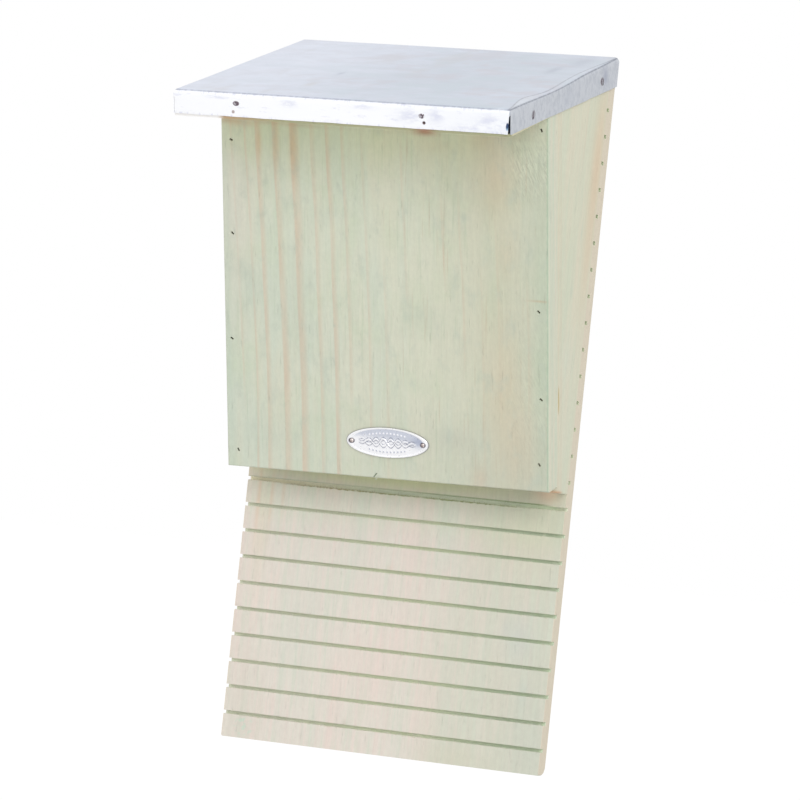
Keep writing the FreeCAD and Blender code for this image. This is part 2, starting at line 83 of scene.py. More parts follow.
# A slanting crack at the lower edge, painted as a dark line of shade, and the sliver that stands up
# beside it
CRACK_FOOT, CRACK_SLOPE = -8.7, 0.8
SLIVER_FOOT, SLIVER_HALF, SLIVER_STEPS = Vector((-7.1, -FRONT_THICKNESS - 0.3, -1.2)), 0.42, 5
SLIVER_RISE = Vector((2.7, -0.5, 3.4))
PLATE_CENTRE = (1.5, 24.0)
PLATE_LENGTH, PLATE_HEIGHT = 56.7, 20.0
PLATE_THICKNESS, PLATE_RECESS, PLATE_RIM = 1.3, 0.5, 1.5
PLATE_TILT = math.radians(1.3)
PIN_REACH = 24.35
BRAID_RISE, BRAID_TURN = 2.4, 0.62          # two crossing strands along the plate
BEAD_LINE, BEAD_BOW, BEAD_TURN = 6.1, 0.009, 2.6

# Back board, mm in the wall's frame
BACK_THICKNESS = 12.0
FIRST_GROOVE = 170.0
GROOVE_PITCH, GROOVE_HEIGHT, GROOVE_DEPTH = 17.0, 2.3, 4.5
GROOVE_FLOOR = GROOVE_DEPTH - BACK_THICKNESS
GROOVE_FOOT = GROOVE_PITCH - GROOVE_HEIGHT
FIRST_GROOVE_FOOT = FIRST_GROOVE - GROOVE_HEIGHT
TAIL_LENGTH = 178.5

# Relief of the grain: its depth in metres, and its strength
GRAIN_DEPTH, GRAIN_STRENGTH = 0.0003, 0.5

# The photo's camera, solved from the straight edges of the box
CAMERA_PLACE = (0.93722, -2.41077, TAIL_FOOT + 0.14936)
CAMERA_TURN = (91.7648, -5.9546, 21.3601)       # degrees
CAMERA_LENS, CAMERA_SENSOR = 180.33, 36

# One lamp, and white paper under the box
LAMP_PLACE, LAMP_TARGET = Vector((1.6, -2.2, 1.0)), Vector((0, 0, -0.1))
LAMP_SIZE, LAMP_POWER = 1.6, 22
FLOOR_REACH, FLOOR_DROP = 40, 0.3
WHITE = (1.0, 1.0, 1.0, 1.0)


def front_places(spots):
    """Places on the front flange, mm in the roof's frame."""
    return [(share * 2 * HALF, -SHEET_FRONT, SHEET_TOP - drop * FRONT_FLANGE) for share, drop in spots]


def side_places(side, spots):
    """Places on the left (-1) or right (1) flange, mm in the roof's frame."""
    return [(side * SHEET_HALF, -share * ROOF_LENGTH, SHEET_TOP - drop * FRONT_FLANGE)
            for share, drop in spots]


# Node trees

class Sock:
    """A socket of a node tree that carries a number, with Python's operators for its maths."""

    def __init__(self, tree, socket):
        self.tree = tree
        self.socket = socket

    def math(self, operation, *values, clamp=False):
        sockets = {f"i{i}": value for i, value in enumerate((self, *values))}
        settings = {"operation": operation, "use_clamp": clamp}
        return Nodes(self.tree).node("ShaderNodeMath", settings, **sockets)

    def __add__(self, other):
        return self.math("ADD", other)

    def __sub__(self, other):
        return self.math("SUBTRACT", other)

    def __mul__(self, other):
        return self.math("MULTIPLY", other)

    def __truediv__(self, other):
        return self.math("DIVIDE", other)

    def __rsub__(self, other):
        return (self * -1).math("ADD", other)

    __radd__ = __add__
    __rmul__ = __mul__

    def clamp(self):
        return self.math("ADD", 0.0, clamp=True)

    def absolute(self):
        return self.math("ABSOLUTE")

    def bell(self, centre, width):
        """1 where this value is centre, falling to 0 on both sides."""
        distance = (self - centre) / width
        return (distance * distance * -1).math("EXPONENT")

    def ramp(self, low, high):
        """0 at low, 1 at high, smooth between."""
        return Nodes(self.tree).node("ShaderNodeMapRange", {"interpolation_type": "SMOOTHSTEP"},
                                     Value=self, From_Min=low, From_Max=high)

    def fade(self, low, high):
        """1 at low, 0 at high, smooth between."""
        return 1 - self.ramp(low, high)


def feed(tree, target, value):
    """Links a socket or sets a value; None leaves the socket as it is."""
    if isinstance(value, Coat):
        value = value.colour
    if isinstance(value, Sock):
        tree.links.new(value.socket, target)
    elif value is not None:
        target.default_value = value


def srgb(colour):
    """A colour written as 0 to 255, for a shader."""
    shares = [channel / 255 for channel in colour]
    return (*(c / 12.92 if c <= 0.04045 else ((c + 0.055) / 1.055) ** 2.4 for c in shares), 1.0)


class Nodes:
    """A node tree in the making."""

    def __init__(self, tree):
        self.tree = tree

    def node(self, kind, settings=None, output=0, **inputs):
        """Any node: its settings are set first, then its sockets by name, or by number as i0, i1."""
        node = self.tree.nodes.new(kind)
        for name, value in (settings or {}).items():
            setattr(node, name, value)
        for name, value in inputs.items():
            key = int(name[1:]) if name[0] == "i" and name[1:].isdigit() else name.replace("_", " ")
            feed(self.tree, node.inputs[key], value)
        return Sock(self.tree, node.outputs[output])

    def axes(self, vector):
        node = self.tree.nodes.new("ShaderNodeSeparateXYZ")
        feed(self.tree, node.inputs[0], vector)
        return [Sock(self.tree, output) for output in node.outputs]

    def joined(self, x, y, z):
        return self.node("ShaderNodeCombineXYZ", X=x, Y=y, Z=z)

    def scaled(self, vector, factor):
        return self.node("ShaderNodeVectorMath", {"operation": "SCALE"},
                         Vector=vector, Scale=factor)


class Coat:
    """A colour of a finish that is painted over layer by layer."""

    def __init__(self, finish, colour):
        self.finish = finish
        self.colour = srgb(colour)

    def paint(self, factor, tint, blend="MIX"):
        """Lays a tint over it: another Coat, or a colour written as 0 to 255."""
        if isinstance(tint, tuple):
            tint = srgb(tint)
        settings = {"data_type": "RGBA", "blend_type": blend, "clamp_factor": True}
        self.colour = self.finish.node("ShaderNodeMix", settings, output=2,
                                       i0=factor, i6=self.colour, i7=tint)
        return self

    def shade(self, factor):
        self.colour = self.finish.scaled(self.colour, factor)
        return self

    def patches(self, across, up, spots, where=1.0):
        """Soft patches: (across, up, half width, half height, strength, tint)."""
        for x, z, wide, tall, strength, tint in spots:
            spot = across.bell(x, wide) * up.bell(z, tall) * where
            self.paint(spot * strength, tint)


class Finish(Nodes):
    """A material in the making, on one Principled shader."""

    def __init__(self, name, **constants):
        self.material = bpy.data.materials.new(name)
        self.material.use_nodes = True
        super().__init__(self.material.node_tree)
        self.shader = self.tree.nodes["Principled BSDF"]
        self.set(**constants)

    def place(self, origin=(0, 0, 0), turn=0.0):
        """Object coordinates in millimetres, in a board's own frame."""
        coordinates = self.node("ShaderNodeTexCoord", output="Object")
        local = self.node("ShaderNodeVectorMath", {"operation": "SUBTRACT"},
                          i0=coordinates, i1=tuple(origin))
        turned = self.node("ShaderNodeVectorRotate", {"rotation_type": "X_AXIS"},
                           Vector=local, Angle=-turn)
        return self.scaled(turned, 1 / MM)

    def noise(self, vector, scale, shift=(0, 0, 0), detail=3.0, rough=0.5, distort=0.0):
        """Noise of 0 to 1 about 0.5; scale is turns per mm along each axis."""
        moved = self.node("ShaderNodeMapping", Vector=vector, Scale=scale, Location=shift)
        return self.node("ShaderNodeTexNoise", output="Fac", Vector=moved,
                         Scale=1.0, Detail=detail, Roughness=rough, Distortion=distort)

    def coat(self, colour):
        return Coat(self, colour)

    def bump(self, height, distance, strength):
        return self.node("ShaderNodeBump", Height=height, Distance=distance, Strength=strength)

    def set(self, **inputs):
        for name, value in inputs.items():
            feed(self.tree, self.shader.inputs[name.replace("_", " ")], value)
        return self.material


# Pine, treated pale green

CREAM = (216, 217, 198)
PINK_CREAM = (221, 214, 203)
MINT = (209, 216, 199)
SAGE = (202, 212, 187)
RING = (212, 198, 177)
PEACH = (221, 210, 187)
WARM = (218, 203, 177)
OLIVE_SHADE = (252, 255, 238)
GREY_GREEN = (190, 199, 184)
RUST = (186, 152, 120)


def grained(colour, across, up, seed, tone, dash=0.14, relief=None):
    """Sets the finish: the colour shaded about tone by fine upright fibres and short dark dashes,
    and their relief, to which more relief can be added."""
    wood = colour.finish
    spread = wood.joined(across, seed, up)
    fibre = wood.noise(spread, (0.36, 1, 0.03), detail=4, rough=0.75, distort=0.5)
    fleck = wood.noise(spread, (0.45, 1, 0.25), (seed, 0, 0), rough=0.7)
    dashes = wood.noise(spread, (0.55, 1, 0.06), (0, seed, 0), rough=0.65).ramp(0.60, 0.74)
    shade = (fibre - 0.5) * 0.19 + (fleck - 0.5) * 0.16 + 1 - dashes * dash
    height = fibre - dashes
    if relief is not None:
        height = height + relief
    return wood.set(Base_Color=colour.shade(shade * tone),
                    Normal=wood.bump(height, GRAIN_DEPTH, GRAIN_STRENGTH))


def side_edges(across):
    """1 on the side edges of a board as wide as the box."""
    return across.absolute().ramp(HALF - 0.6, HALF - 0.1)


def add_growth_rings(colour, across, up, rings, bend, seed):
    """Upright pinkish rings, each sharp on its left and soft on its right. A ring is (place
    at the foot, half width, strength, fades below, fades above)."""
    wood = colour.finish
    wander = (wood.noise(wood.joined(across, seed, up), (0.012, 1, 0.011), detail=2) - 0.5) * 3
    bent = across - bend - wander
    for place, width, strength, low, high in rings:
        core = bent.ramp(place - width, place - 0.45 * width)
        core = core * bent.fade(place - 0.3 * width, place + 2.3 * width)
        height = up.ramp(low - 25, low + 5) * up.fade(high, high + 40)
        uneven = wood.noise(wood.joined(across, place, up), (0.1, 1, 0.014)).ramp(0.1, 0.6)
        colour.paint(core * height * uneven * strength, RING)


FRONT_RINGS = [
    (-98, 0.8, 0.4, 60, 230), (-88.5, 0.8, 0.7, 0, 230), (-80.5, 1.5, 0.78, -20, 240),
    (-68.2, 2.1, 1, -20, 240), (-56.3, 2.3, 0.92, -20, 240), (-43.4, 1.3, 0.55, -20, 240),
    (-32.8, 1.5, 0.85, -20, 240), (-22.8, 1.2, 0.45, 60, 240), (-9.5, 1, 0.45, 20, 200),
    (2, 1.2, 0.35, 0, 120), (17, 1, 0.3, 120, 200), (43, 0.9, 0.5, 140, 160),
    (54.5, 0.9, 0.5, 90, 170), (67, 1, 0.35, 20, 120), (78, 1, 0.4, 60, 150),
    (97, 1.1, 0.45, 20, 110),
]
FRONT_PATCHES = [
    (-102, 165, 14, 60, 0.5, (218, 211, 198)),
    (80, 110, 42, 150, 0.35, (208, 207, 180)), (75, 198, 11, 24, 0.6, WARM),
    (82, 150, 6, 14, 0.3, WARM), (79, 66, 12, 46, 0.5, WARM),
    (90, 30, 10, 30, 0.4, WARM), (64, 6, 5, 8, 0.6, RING), (10, 150, 14, 40, 0.2, CREAM),
    (106, 110, 7, 120, 0.5, (192, 208, 186)), (-92, 118, 8, 14, 0.4, (190, 205, 190)),
    (-60, 104, 7, 30, 0.2, GREY_GREEN), (-80, 22, 18, 12, 0.3, GREY_GREEN),
    (45, 30, 14, 8, 0.35, (192, 194, 180)), (30, 105, 14, 10, 0.2, GREY_GREEN),
    (-34, 97, 1, 1, 0.5, GREY_GREEN), (104, 123.5, 7, 0.7, 0.7, (202, 186, 156)),
    (-40, 168, 9, 6, 0.2, GREY_GREEN), (-108, 90, 3, 120, 0.35, (190, 206, 190)),
    (28.5, 225.4, 7, 2.4, 0.85, (174, 122, 104)), (36, 217, 12, 5, 0.15, (198, 174, 152)),
    (66, 222, 8, 6, 0.3, (205, 186, 158)), (-84, 212, 1.9, 10, 0.38, (206, 166, 130)),
    (-72.6, 212, 3, 16, 0.33, (200, 171, 134)), (-60, 210, 3.4, 20, 0.38, (205, 174, 138)),
    (-97, 224, 12, 3, 0.4, (204, 164, 130)),
]


def front_pine():
    wood = Finish("front_board_pine", Roughness=0.78, Specular_IOR_Level=0.25)
    across, through, up = wood.axes(wood.place(FRONT_SEAT, LEAN))
    flat = wood.joined(across, 3, up)
    streaks = wood.noise(flat, (0.06, 1, 0.007), rough=0.6)
    left = across.ramp(-60, 20)
    colour = wood.coat(MINT).paint((streaks - 0.5 + left * 0.12).ramp(-0.12, 0.2), CREAM)
    blotches = wood.noise(flat, (0.03, 1, 0.02), (5, 0, 2), detail=4, rough=0.65)
    colour.paint(blotches.ramp(0.42, 0.75) * 0.7, SAGE)
    thin = wood.noise(flat, (0.5, 1, 0.016), (7, 0, 3), rough=0.6)
    colour.paint(thin.ramp(0.58, 0.72) * across.ramp(-20, 20) * 0.4, (192, 174, 148))
    colour.paint(thin.fade(0.3, 0.44) * 0.3, (180, 196, 168))
    bend = up.ramp(60, 260) * -5.6
    add_growth_rings(colour, across, up, FRONT_RINGS, bend, 7)
    colour.patches(across, up, FRONT_PATCHES, through.fade(-14, -13))

    # painted shade: a band under the roof tinted olive, and painted light and shade across the board;
    # then the rusty line along the sheet's lower edge
    shade_band = wood.noise(flat, (0.03, 1, 0.02), (9, 0, 1), detail=2) * 24 + up
    shade_band = shade_band.ramp(198, 236) * across.fade(52, 84)
    upper = up.bell(186, 45) * across.fade(0, 75)
    lower = up.fade(5, 70) * across.ramp(-60, 40)
    right = across.ramp(20, 90) * up.fade(190, 212)
    # painted light and shade: lighter high up on the left, darker at the right and near the foot
    tone = shade_band * 0.02 + upper * 0.09 - right * 0.05 - lower * 0.05 + 1
    colour.paint(shade_band * 0.6, OLIVE_SHADE, "MULTIPLY").shade(tone)
    rust = wood.noise(flat, (0.03, 1, 0.1), (1, 0, 4), detail=2).ramp(0.3, 0.6)
    fading = 1 - across.ramp(-100, 10) * 0.75
    colour.paint(up.ramp(221.5, 225) * rust * fading * 0.42, RUST)

    # torn grain at the upper right: fine slanting scratches
    slant = wood.joined(across + up * 0.36, 1, up - across * 0.36)
    scratches = wood.noise(slant, (0.8, 1, 0.16), detail=4, rough=0.7, distort=0.8)
    torn = across.ramp(80, 92) * (up.bell(208, 22) + up.bell(60, 70) * 0.35).clamp()
    colour.shade((scratches - 0.55) * torn * 0.95 + 1)
    clouds = wood.noise(flat, (0.09, 1, 0.05), (6, 0, 6), detail=4, rough=0.6)
    colour.paint((clouds - 0.5).ramp(0, 0.25) * 0.5, GREY_GREEN)
    # rough sawn corner at the right
    fringe = wood.noise(flat, (0.5, 1, 0.25), (8, 0, 3), rough=0.7) * 2.4 + across
    colour.paint(fringe.ramp(HALF - 0.6, HALF + 0.3) * 0.6, (172, 194, 170))

    # the crack beside the sliver, painted as a dark line of shade
    crack_shade = (across - CRACK_FOOT - up * CRACK_SLOPE).bell(0, 0.5) * up.fade(2.8, 3.8)
    crack_shade = crack_shade * through.fade(0.1 - FRONT_THICKNESS, 0.5 - FRONT_THICKNESS)
    colour.paint(crack_shade.ramp(0.2, 0.7), (116, 128, 104))

    # the board's side edges are paler and greener, with streaks of their own
    edge_streaks = wood.noise(wood.joined(through, 2, up), (0.2, 1, 0.006), rough=0.65)
    edge_colour = wood.coat((209, 216, 196)).paint(edge_streaks.ramp(0.34, 0.66), (222, 219, 199))
    colour.paint(side_edges(across), edge_colour)

    return grained(colour, across + through, up, 3, 0.925, relief=scratches * torn * 1.5)


SIDE_PATCHES = [
    (-20, 385, 11, 50, 0.85, (222, 202, 175)), (-22, 330, 8, 40, 0.45, WARM),
    (-47, 400, 1.2, 16, 0.4, RING),
    (-36, 342, 1.6, 7, 0.35, GREY_GREEN), (-44, 304, 2.2, 5, 0.4, GREY_GREEN),
    (-62, 300, 20, 60, 0.25, SAGE), (-40, 262, 12, 16, 0.3, (209, 218, 203)),
    (-30, 215, 10, 30, 0.35, CREAM), (-40, 184, 6, 5, 0.5, RUST),
]


def side_pine():
    """The side boards; the pattern runs down their outer faces, a distance in from the wall."""
    wood = Finish("side_board_pine", Roughness=0.78, Specular_IOR_Level=0.25)
    across, out, up = wood.axes(wood.place(WALL_SEAT))
    flat = wood.joined(out, 17, up)
    streaks = wood.noise(flat, (0.07, 1, 0.006), rough=0.6)
    colour = wood.coat((213, 216, 195)).paint(streaks.ramp(0.36, 0.66), (221, 216, 195))
    blotches = wood.noise(flat, (0.03, 1, 0.012), (2, 0, 7))
    colour.paint(blotches.ramp(0.5, 0.75) * 0.6, (210, 216, 193))
    shown = across.ramp(0, 1)
    colour.patches(out, up, SIDE_PATCHES, shown)
    # lines along the joint with the front board
    joint = out + FOOT_OUT + (up - FOOT_UP) * SLOPE
    lines = ((3, 2, 0.5, PEACH), (7.5, 1.2, 0.35, RING), (13, 2.5, 0.3, CREAM))
    for inset, width, strength, tint in lines:
        colour.paint(joint.bell(inset, width) * strength, tint)
    slit = joint.bell(3.2, 0.8) * up.bell(236, 9) * shown
    colour.paint(slit.ramp(0.25, 0.6), (198, 176, 112))
    foot = up.fade(TAIL_LENGTH + 0.2, TAIL_LENGTH + 2.5) * joint.fade(2, 14) * shown
    colour.paint(foot * 0.8, (206, 160, 122))
    return grained(colour, out + across, up, 17, 0.95, 0.1, relief=slit.ramp(0.3, 0.6) * -3)


TAIL_RING = (216, 192, 170)
BACK_PATCHES = [
    (-97, 140, 5, 40, 0.5, (221, 208, 188)), (-101, 160, 1.3, 26, 0.6, TAIL_RING),
    (-92, 158, 1.3, 20, 0.5, TAIL_RING), (-84, 162, 1.3, 16, 0.4, TAIL_RING),
    (78, 90, 2.5, 6, 0.3, (188, 196, 188)), (94, 50, 4, 10, 0.3, (188, 196, 190)),
    (-25, 17, 1.6, 3.5, 0.35, (170, 168, 148)), (52, 5, 20, 9, 0.5, (206, 204, 184)),
    # the wide patch at 178, just under the front board, is painted light: a lighter, yellower tint for
    # the shade there
    (88, 84, 10, 16, 0.5, (198, 204, 196)), (-10, 178, 100, 8, 0.85, (219, 224, 173)),
    (97, 178, 9, 6, 0.8, (238, 208, 184)), (107, 176, 4, 8, 0.6, (200, 198, 180)),
    (88, 150, 34, 24, 0.45, (212, 208, 184)), (-97, 25, 10, 40, 0.4, (208, 205, 191)),
    (100, 20, 14, 40, 0.6, (197, 201, 187)),
    (-52, 150, 12, 12, 0.3, (208, 213, 198)), (-5, 120, 2, 2, 0.4, (214, 196, 180)),
]


def back_pine():
    wood = Finish("back_board_pine", Roughness=0.8, Specular_IOR_Level=0.2)
    across, out, up = wood.axes(wood.place(WALL_SEAT))
    flat = wood.joined(across, 29, up)
    lean = across.ramp(-40, 100) + (wood.noise(flat, (0.02, 1, 0.004), detail=2) - 0.5) * 0.9
    colour = wood.coat(PINK_CREAM).paint(lean.ramp(0.1, 0.9), (206, 206, 190))
    streaks = wood.noise(flat, (0.24, 1, 0.016), detail=4, rough=0.65)
    pale = 1 - lean.ramp(0.2, 1) * 0.7
    colour.paint(streaks.ramp(0.5, 0.64) * pale * 0.56, (227, 212, 202))
    colour.paint(streaks.fade(0.36, 0.5) * 0.5, (206, 211, 194))
    broad = wood.noise(flat, (0.05, 1, 0.006), (4, 0, 4), detail=2)
    colour.paint(broad.ramp(0.5, 0.66) * pale * 0.33, (228, 207, 199))
    colour.paint(broad.fade(0.32, 0.5) * 0.35, (205, 211, 197))
    colour.patches(across, up, BACK_PATCHES, out.fade(GROOVE_FLOOR, GROOVE_FLOOR + 1))
    spots = wood.noise(flat, (0.3, 1, 0.3), (4, 0, 0), detail=2).ramp(0.52, 0.62)
    corner = across.bell(-95, 7) * up.bell(8, 6)
    colour.paint(spots * corner.ramp(0.2, 0.6) * 0.5, (186, 214, 194))

    # inside the grooves: fresh sawn wood, browner on the left and greener on the right, with painted
    # shade under each groove's upper lip; the first groove, in the front board's shade, is painted
    # lighter as light
    rung = up.math("MODULO", GROOVE_PITCH)
    slot = (up + 0.2).math("MODULO", GROOVE_PITCH)
    cut = slot.ramp(GROOVE_FOOT - 0.05, GROOVE_FOOT + 0.1)
    cut = (cut + 1 - slot.ramp(0.25, 0.35)).clamp()
    depth = out + BACK_THICKNESS
    inside = depth.ramp(0.15, 0.6) * out.fade(GROOVE_FLOOR - 0.3, GROOVE_FLOOR) * cut
    face = depth.fade(0.05, 0.2)
    first = up.ramp(162, 165) * up.fade(172, 176)
    sawn = wood.coat((236, 238, 221)).paint(across.ramp(-80, 0), (238, 242, 221))
    sawn.paint(across.ramp(10, 90), (219, 228, 206))
    sawn.paint(rung.ramp(GROOVE_PITCH - 1.2, GROOVE_PITCH - 0.3) * 0.2, (190, 190, 160))
    lit_first_groove = wood.coat((251, 247, 225)).paint(across.ramp(-90, 0), (242, 247, 227))
    lit_first_groove.paint(across.ramp(50, 98), (237, 245, 221))
    sawn.paint(first, lit_first_groove.paint(across.ramp(100, 106), (230, 233, 213)))
    notch = wood.coat((224, 230, 202)).paint(up.ramp(190, 340), (205, 214, 182))
    sawn.paint(across.ramp(100, 108) * up.ramp(178, 184), notch)
    colour.paint(inside, sawn)

    # chipped edges; the groove just under the front board is torn all along: a dark ragged line that is
    # partly torn wood and partly painted shade of its fibres, a painted line of shade along its upper
    # lip, and painted light on the band just below it, to lift the front board's shadow there
    chips = wood.noise(flat, (0.35, 1, 0.3), (3, 0, 9), detail=4, rough=0.7)
    lower = rung.bell(GROOVE_FOOT - 0.2, 0.45) * chips.ramp(0.52, 0.66)
    colour.paint(lower * face * 0.5, (172, 170, 140))
    teeth = wood.noise(flat, (0.55, 1, 0.5), (6, 0, 2), detail=2)
    ragged = up + (teeth - 0.5) * 1.4
    torn = ragged.bell(FIRST_GROOVE_FOOT - 0.2, 0.5) * across.ramp(-100, -60) * face
    torn = torn * across.fade(60, 95) * (teeth.ramp(0.3, 0.55) * 0.5 + 0.5)
    colour.paint(torn, wood.coat((146, 134, 92)).paint(across.ramp(-60, 20), (138, 146, 98)))
    lip_shade = up.bell(FIRST_GROOVE + 0.25, 0.5) * across.fade(92, 102) * face
    colour.paint(lip_shade * (across.ramp(-60, 70) * 0.5 + 0.3), (116, 138, 88))
    lit = up.ramp(138, 154) * up.fade(FIRST_GROOVE_FOOT - 0.5, FIRST_GROOVE_FOOT)
    colour.paint(lit * face, (251, 255, 251), "MULTIPLY")
    colour.shade(lit * face * across.fade(80, 106) * 0.05 + 1)

    colour.paint(side_edges(across) * 0.8 * (1 - inside * 0.7), (221, 209, 189))
    return grained(colour, across + out, up, 29, 0.97, 0.1)


def roof_pine():
    wood = Finish("roof_board_pine", Roughness=0.8, Specular_IOR_Level=0.2)
    across, along, up = wood.axes(wood.place(ROOF_SEAT, LEAN))
    flat = wood.joined(across + up, 41, along)
    streaks = wood.noise(flat, (0.1, 1, 0.01))
    colour = wood.coat((218, 218, 184)).paint(streaks.ramp(0.3, 0.7), (228, 218, 190))
    front = along.fade(-ROOF_LENGTH + 1, -ROOF_LENGTH + 5)
    # along the front edge under the flange: painted shade, brown at the left and olive to the right,
    # near white at the far left, with a rust spot; painted dark shade in the right seam; and the wood
    # behind the stray holes
    stain_and_shade = wood.coat((192, 164, 130)).paint(across.ramp(-84, -30), (172, 172, 138))
    stain_and_shade.paint(across.bell(55, 6) * 0.75, (162, 112, 94))
    stain_and_shade = wood.coat((245, 243, 240)).paint(across.ramp(-82, -76), stain_and_shade)
    seam_shade = across.ramp(107, 107.6) * up.ramp(1.7, 2.2)
    stain_and_shade.paint(seam_shade, (34, 38, 50))
    for x, y, z in front_places(FRONT_HOLES):
        hole = (214, 202, 202) if x < 0 else (84, 70, 76)
        stain_and_shade.paint(across.bell(x, 1.4) * up.bell(z, 1.4), hole)
    colour.paint(front, stain_and_shade)
    return grained(colour, across + up, along, 41, 0.97)


# Metals

SHEET_PATCHES = [
    (-34, -108, 2, 5, 0.5, (176, 184, 200)), (88, -54, 3.5, 12, 0.5, (176, 182, 197)),
    (-36, -150, 3, 9, 0.25, (204, 198, 190)), (95, -20, 5, 20, 0.4, (186, 192, 206)),
    (74, -40, 12, 9, 0.25, (196, 200, 212)), (9, -85, 5, 16, 0.2, (208, 204, 202)),
]
FLANGE_PATCHES = [(-22, 9, 5, 6, 0.8, (168, 174, 190)), (-92, 8, 12, 6, 0.3, (184, 190, 202))]
FRONT_SMUDGES = [(-82, 13.4, 5, 1.2), (-33, 12, 6, 2), (15, 13, 7, 1.8), (46, 9, 8, 4),
                 (63, 10, 5, 4), (98, 8, 9, 5), (84, 4, 10, 2)]     # place and half sizes


def zinc():
    """Matt zinc-coated sheet: smooth on top, painted whiter in front as light, painted duller at the
    sides as shade, and mottled there.
    """
    sheet = Finish("zinc_sheet", Specular_IOR_Level=0.5)
    place = sheet.place(ROOF_SEAT, LEAN)
    across, along, up = sheet.axes(place)
    cloud = sheet.noise(place, (0.008, 0.03, 0.03), rough=0.55)
    speck = sheet.noise(place, (0.5, 0.5, 0.16), detail=4, rough=0.65)
    stains = sheet.noise(place, (0.03, 0.012, 0.05), (3, 1, 0)).ramp(0.56, 0.72)

    colour = sheet.coat((216, 222, 235)).paint(cloud.ramp(0.35, 0.65), (208, 215, 226))
    colour.paint(across.fade(-90, 30), (226, 231, 243))
    colour.paint(stains * 0.35, (206, 205, 208))
    patchy = sheet.noise(place, (0.05, 0.08, 0.05), (8, 2, 0), detail=4, rough=0.6)
    colour.shade((speck - 0.5) * 0.08 + (patchy - 0.5) * 0.17 + 1)
    mottled = sheet.noise(place, (0.035, 0.035, 0.035), (1, 6, 4), detail=4, rough=0.6)
    tint_share = across.ramp(-90, 60) * 0.7 + 0.3
    colour.paint(mottled.ramp(0.5, 0.64) * tint_share * 0.42, (208, 205, 213))
    colour.paint(mottled.fade(0.36, 0.5) * tint_share * 0.4, (204, 216, 224))
    colour.patches(across, along, SHEET_PATCHES)

    # crumpled facet beside the right fold, between two creases: the facet is painted lighter as light,
    # and a crease is painted as a dark line of shade
    crease = along.bell(-159, 21) * -4.2 + along.bell(-60, 42) * -3 + 109.4 - across
    facet_light = crease.fade(-0.3, 0.5) * along.fade(-30, -10) * (1 - along.ramp(-170, -130) * 0.7)
    colour.paint(facet_light * 0.55, (222, 226, 231))
    fine = speck.ramp(0.35, 0.6) * 0.5 + 0.5
    colour.paint(crease.bell(0, 0.45) * fine * 0.75, (158, 162, 172))

    # the side flanges start below a wavy crease; they are painted darker as shade and mottled, with a
    # painted dark line of shade just under the crease
    sag = along.bell(-110, 44) * 1.2 + along.bell(-30, 20) * 0.2
    below = (up + sag) * -1 + SHEET_TOP
    side = across.absolute().ramp(TOP_EDGE + 0.2, TOP_EDGE + 0.6) * below.ramp(0.3, 0.7)
    mottle = sheet.noise(place, (0.4, 0.32, 0.22), detail=4, rough=0.75)
    shaded_side_colour = sheet.coat((204, 208, 215)).paint(mottle.ramp(0.4, 0.66), (187, 192, 201))
    shaded_side_colour.patches(along, up, FLANGE_PATCHES)
    colour.paint(side, shaded_side_colour)
    fold_shade = below.bell(0.5, 0.35) * across.ramp(TOP_EDGE, TOP_EDGE + 0.5)
    colour.paint(fold_shade * fine * 0.9, (126, 132, 146))

    front = along.fade(-SHEET_FRONT + 0.4, -SHEET_FRONT + 1.4) * across.fade(109.55, 109.75)
    smudge = sheet.noise(place, (0.07, 0.1, 0.22), (2, 5, 1), detail=5, rough=0.75)
    dirt = speck.ramp(0.52, 0.64) * (up.bell(1.8, 0.9) + up.bell(15.4, 0.9)).clamp()
    # painted light: the front flange is whiter, under its smudges and dirt
    lit_front_colour = sheet.coat((250, 251, 254)).paint(across.ramp(0, 90), (245, 247, 251))
    lit_front_colour.paint((smudge.ramp(0.57, 0.7) * 0.4 + dirt * 0.6).clamp(), (208, 209, 230))
    lit_front_colour.patches(across, up, [(*spot, 0.6, (206, 209, 230)) for spot in FRONT_SMUDGES],
                         smudge.ramp(0.38, 0.56))
    colour.paint(front, lit_front_colour)

    # a thin painted dark reflection along the front fold, and the curl at the right seam, with a
    # painted light blue reflection below painted dark shade
    rim = up.bell(SHEET_TOP - 0.5, 0.4) * along.bell(-SHEET_FRONT + 1.2, 0.9)
    colour.paint(rim * fine * 0.8, (150, 154, 172))
    curl = across.bell(108.5, 0.9) * up.bell(6.2, 2.4) * front
    gleam = sheet.coat((150, 186, 216)).paint(up.ramp(4.2, 6), (48, 72, 112))
    colour.paint(curl.ramp(0.2, 0.6), gleam)

    # stains round the nails and in the stray holes
    for x, y, z in front_places(FRONT_NAILS):
        ring = across.bell(x, 2.5) * up.bell(z, 1.7) * front
        colour.paint(ring.ramp(0.35, 0.6) * speck.ramp(0.42, 0.52), (104, 86, 98))
    for x, y, z in front_places(FRONT_HOLES):
        ring = across.bell(x, 1.3) * up.bell(z, 1.3) * front
        rust = (214, 206, 208) if x < 0 else (140, 124, 130)
        colour.paint(ring.ramp(0.3, 0.7) * 0.8, rust)
    for x, y, z in side_places(1, SIDE_NAILS):
        ring = along.bell(y + 0.6, 3.6) * up.bell(z - 0.9, 3) * side
        blot = ring.ramp(0.3, 0.7) * (speck.ramp(0.36, 0.56) * 0.7 + 0.3)
        colour.paint(blot, (100, 88, 98))
    roughness = (speck - 0.5) * 0.15 + 0.42
    return sheet.set(Base_Color=colour, Metallic=0.45 - front * 0.3, Roughness=roughness,
                     Normal=sheet.bump(speck * 0.4 + cloud, 0.00025, 0.35))


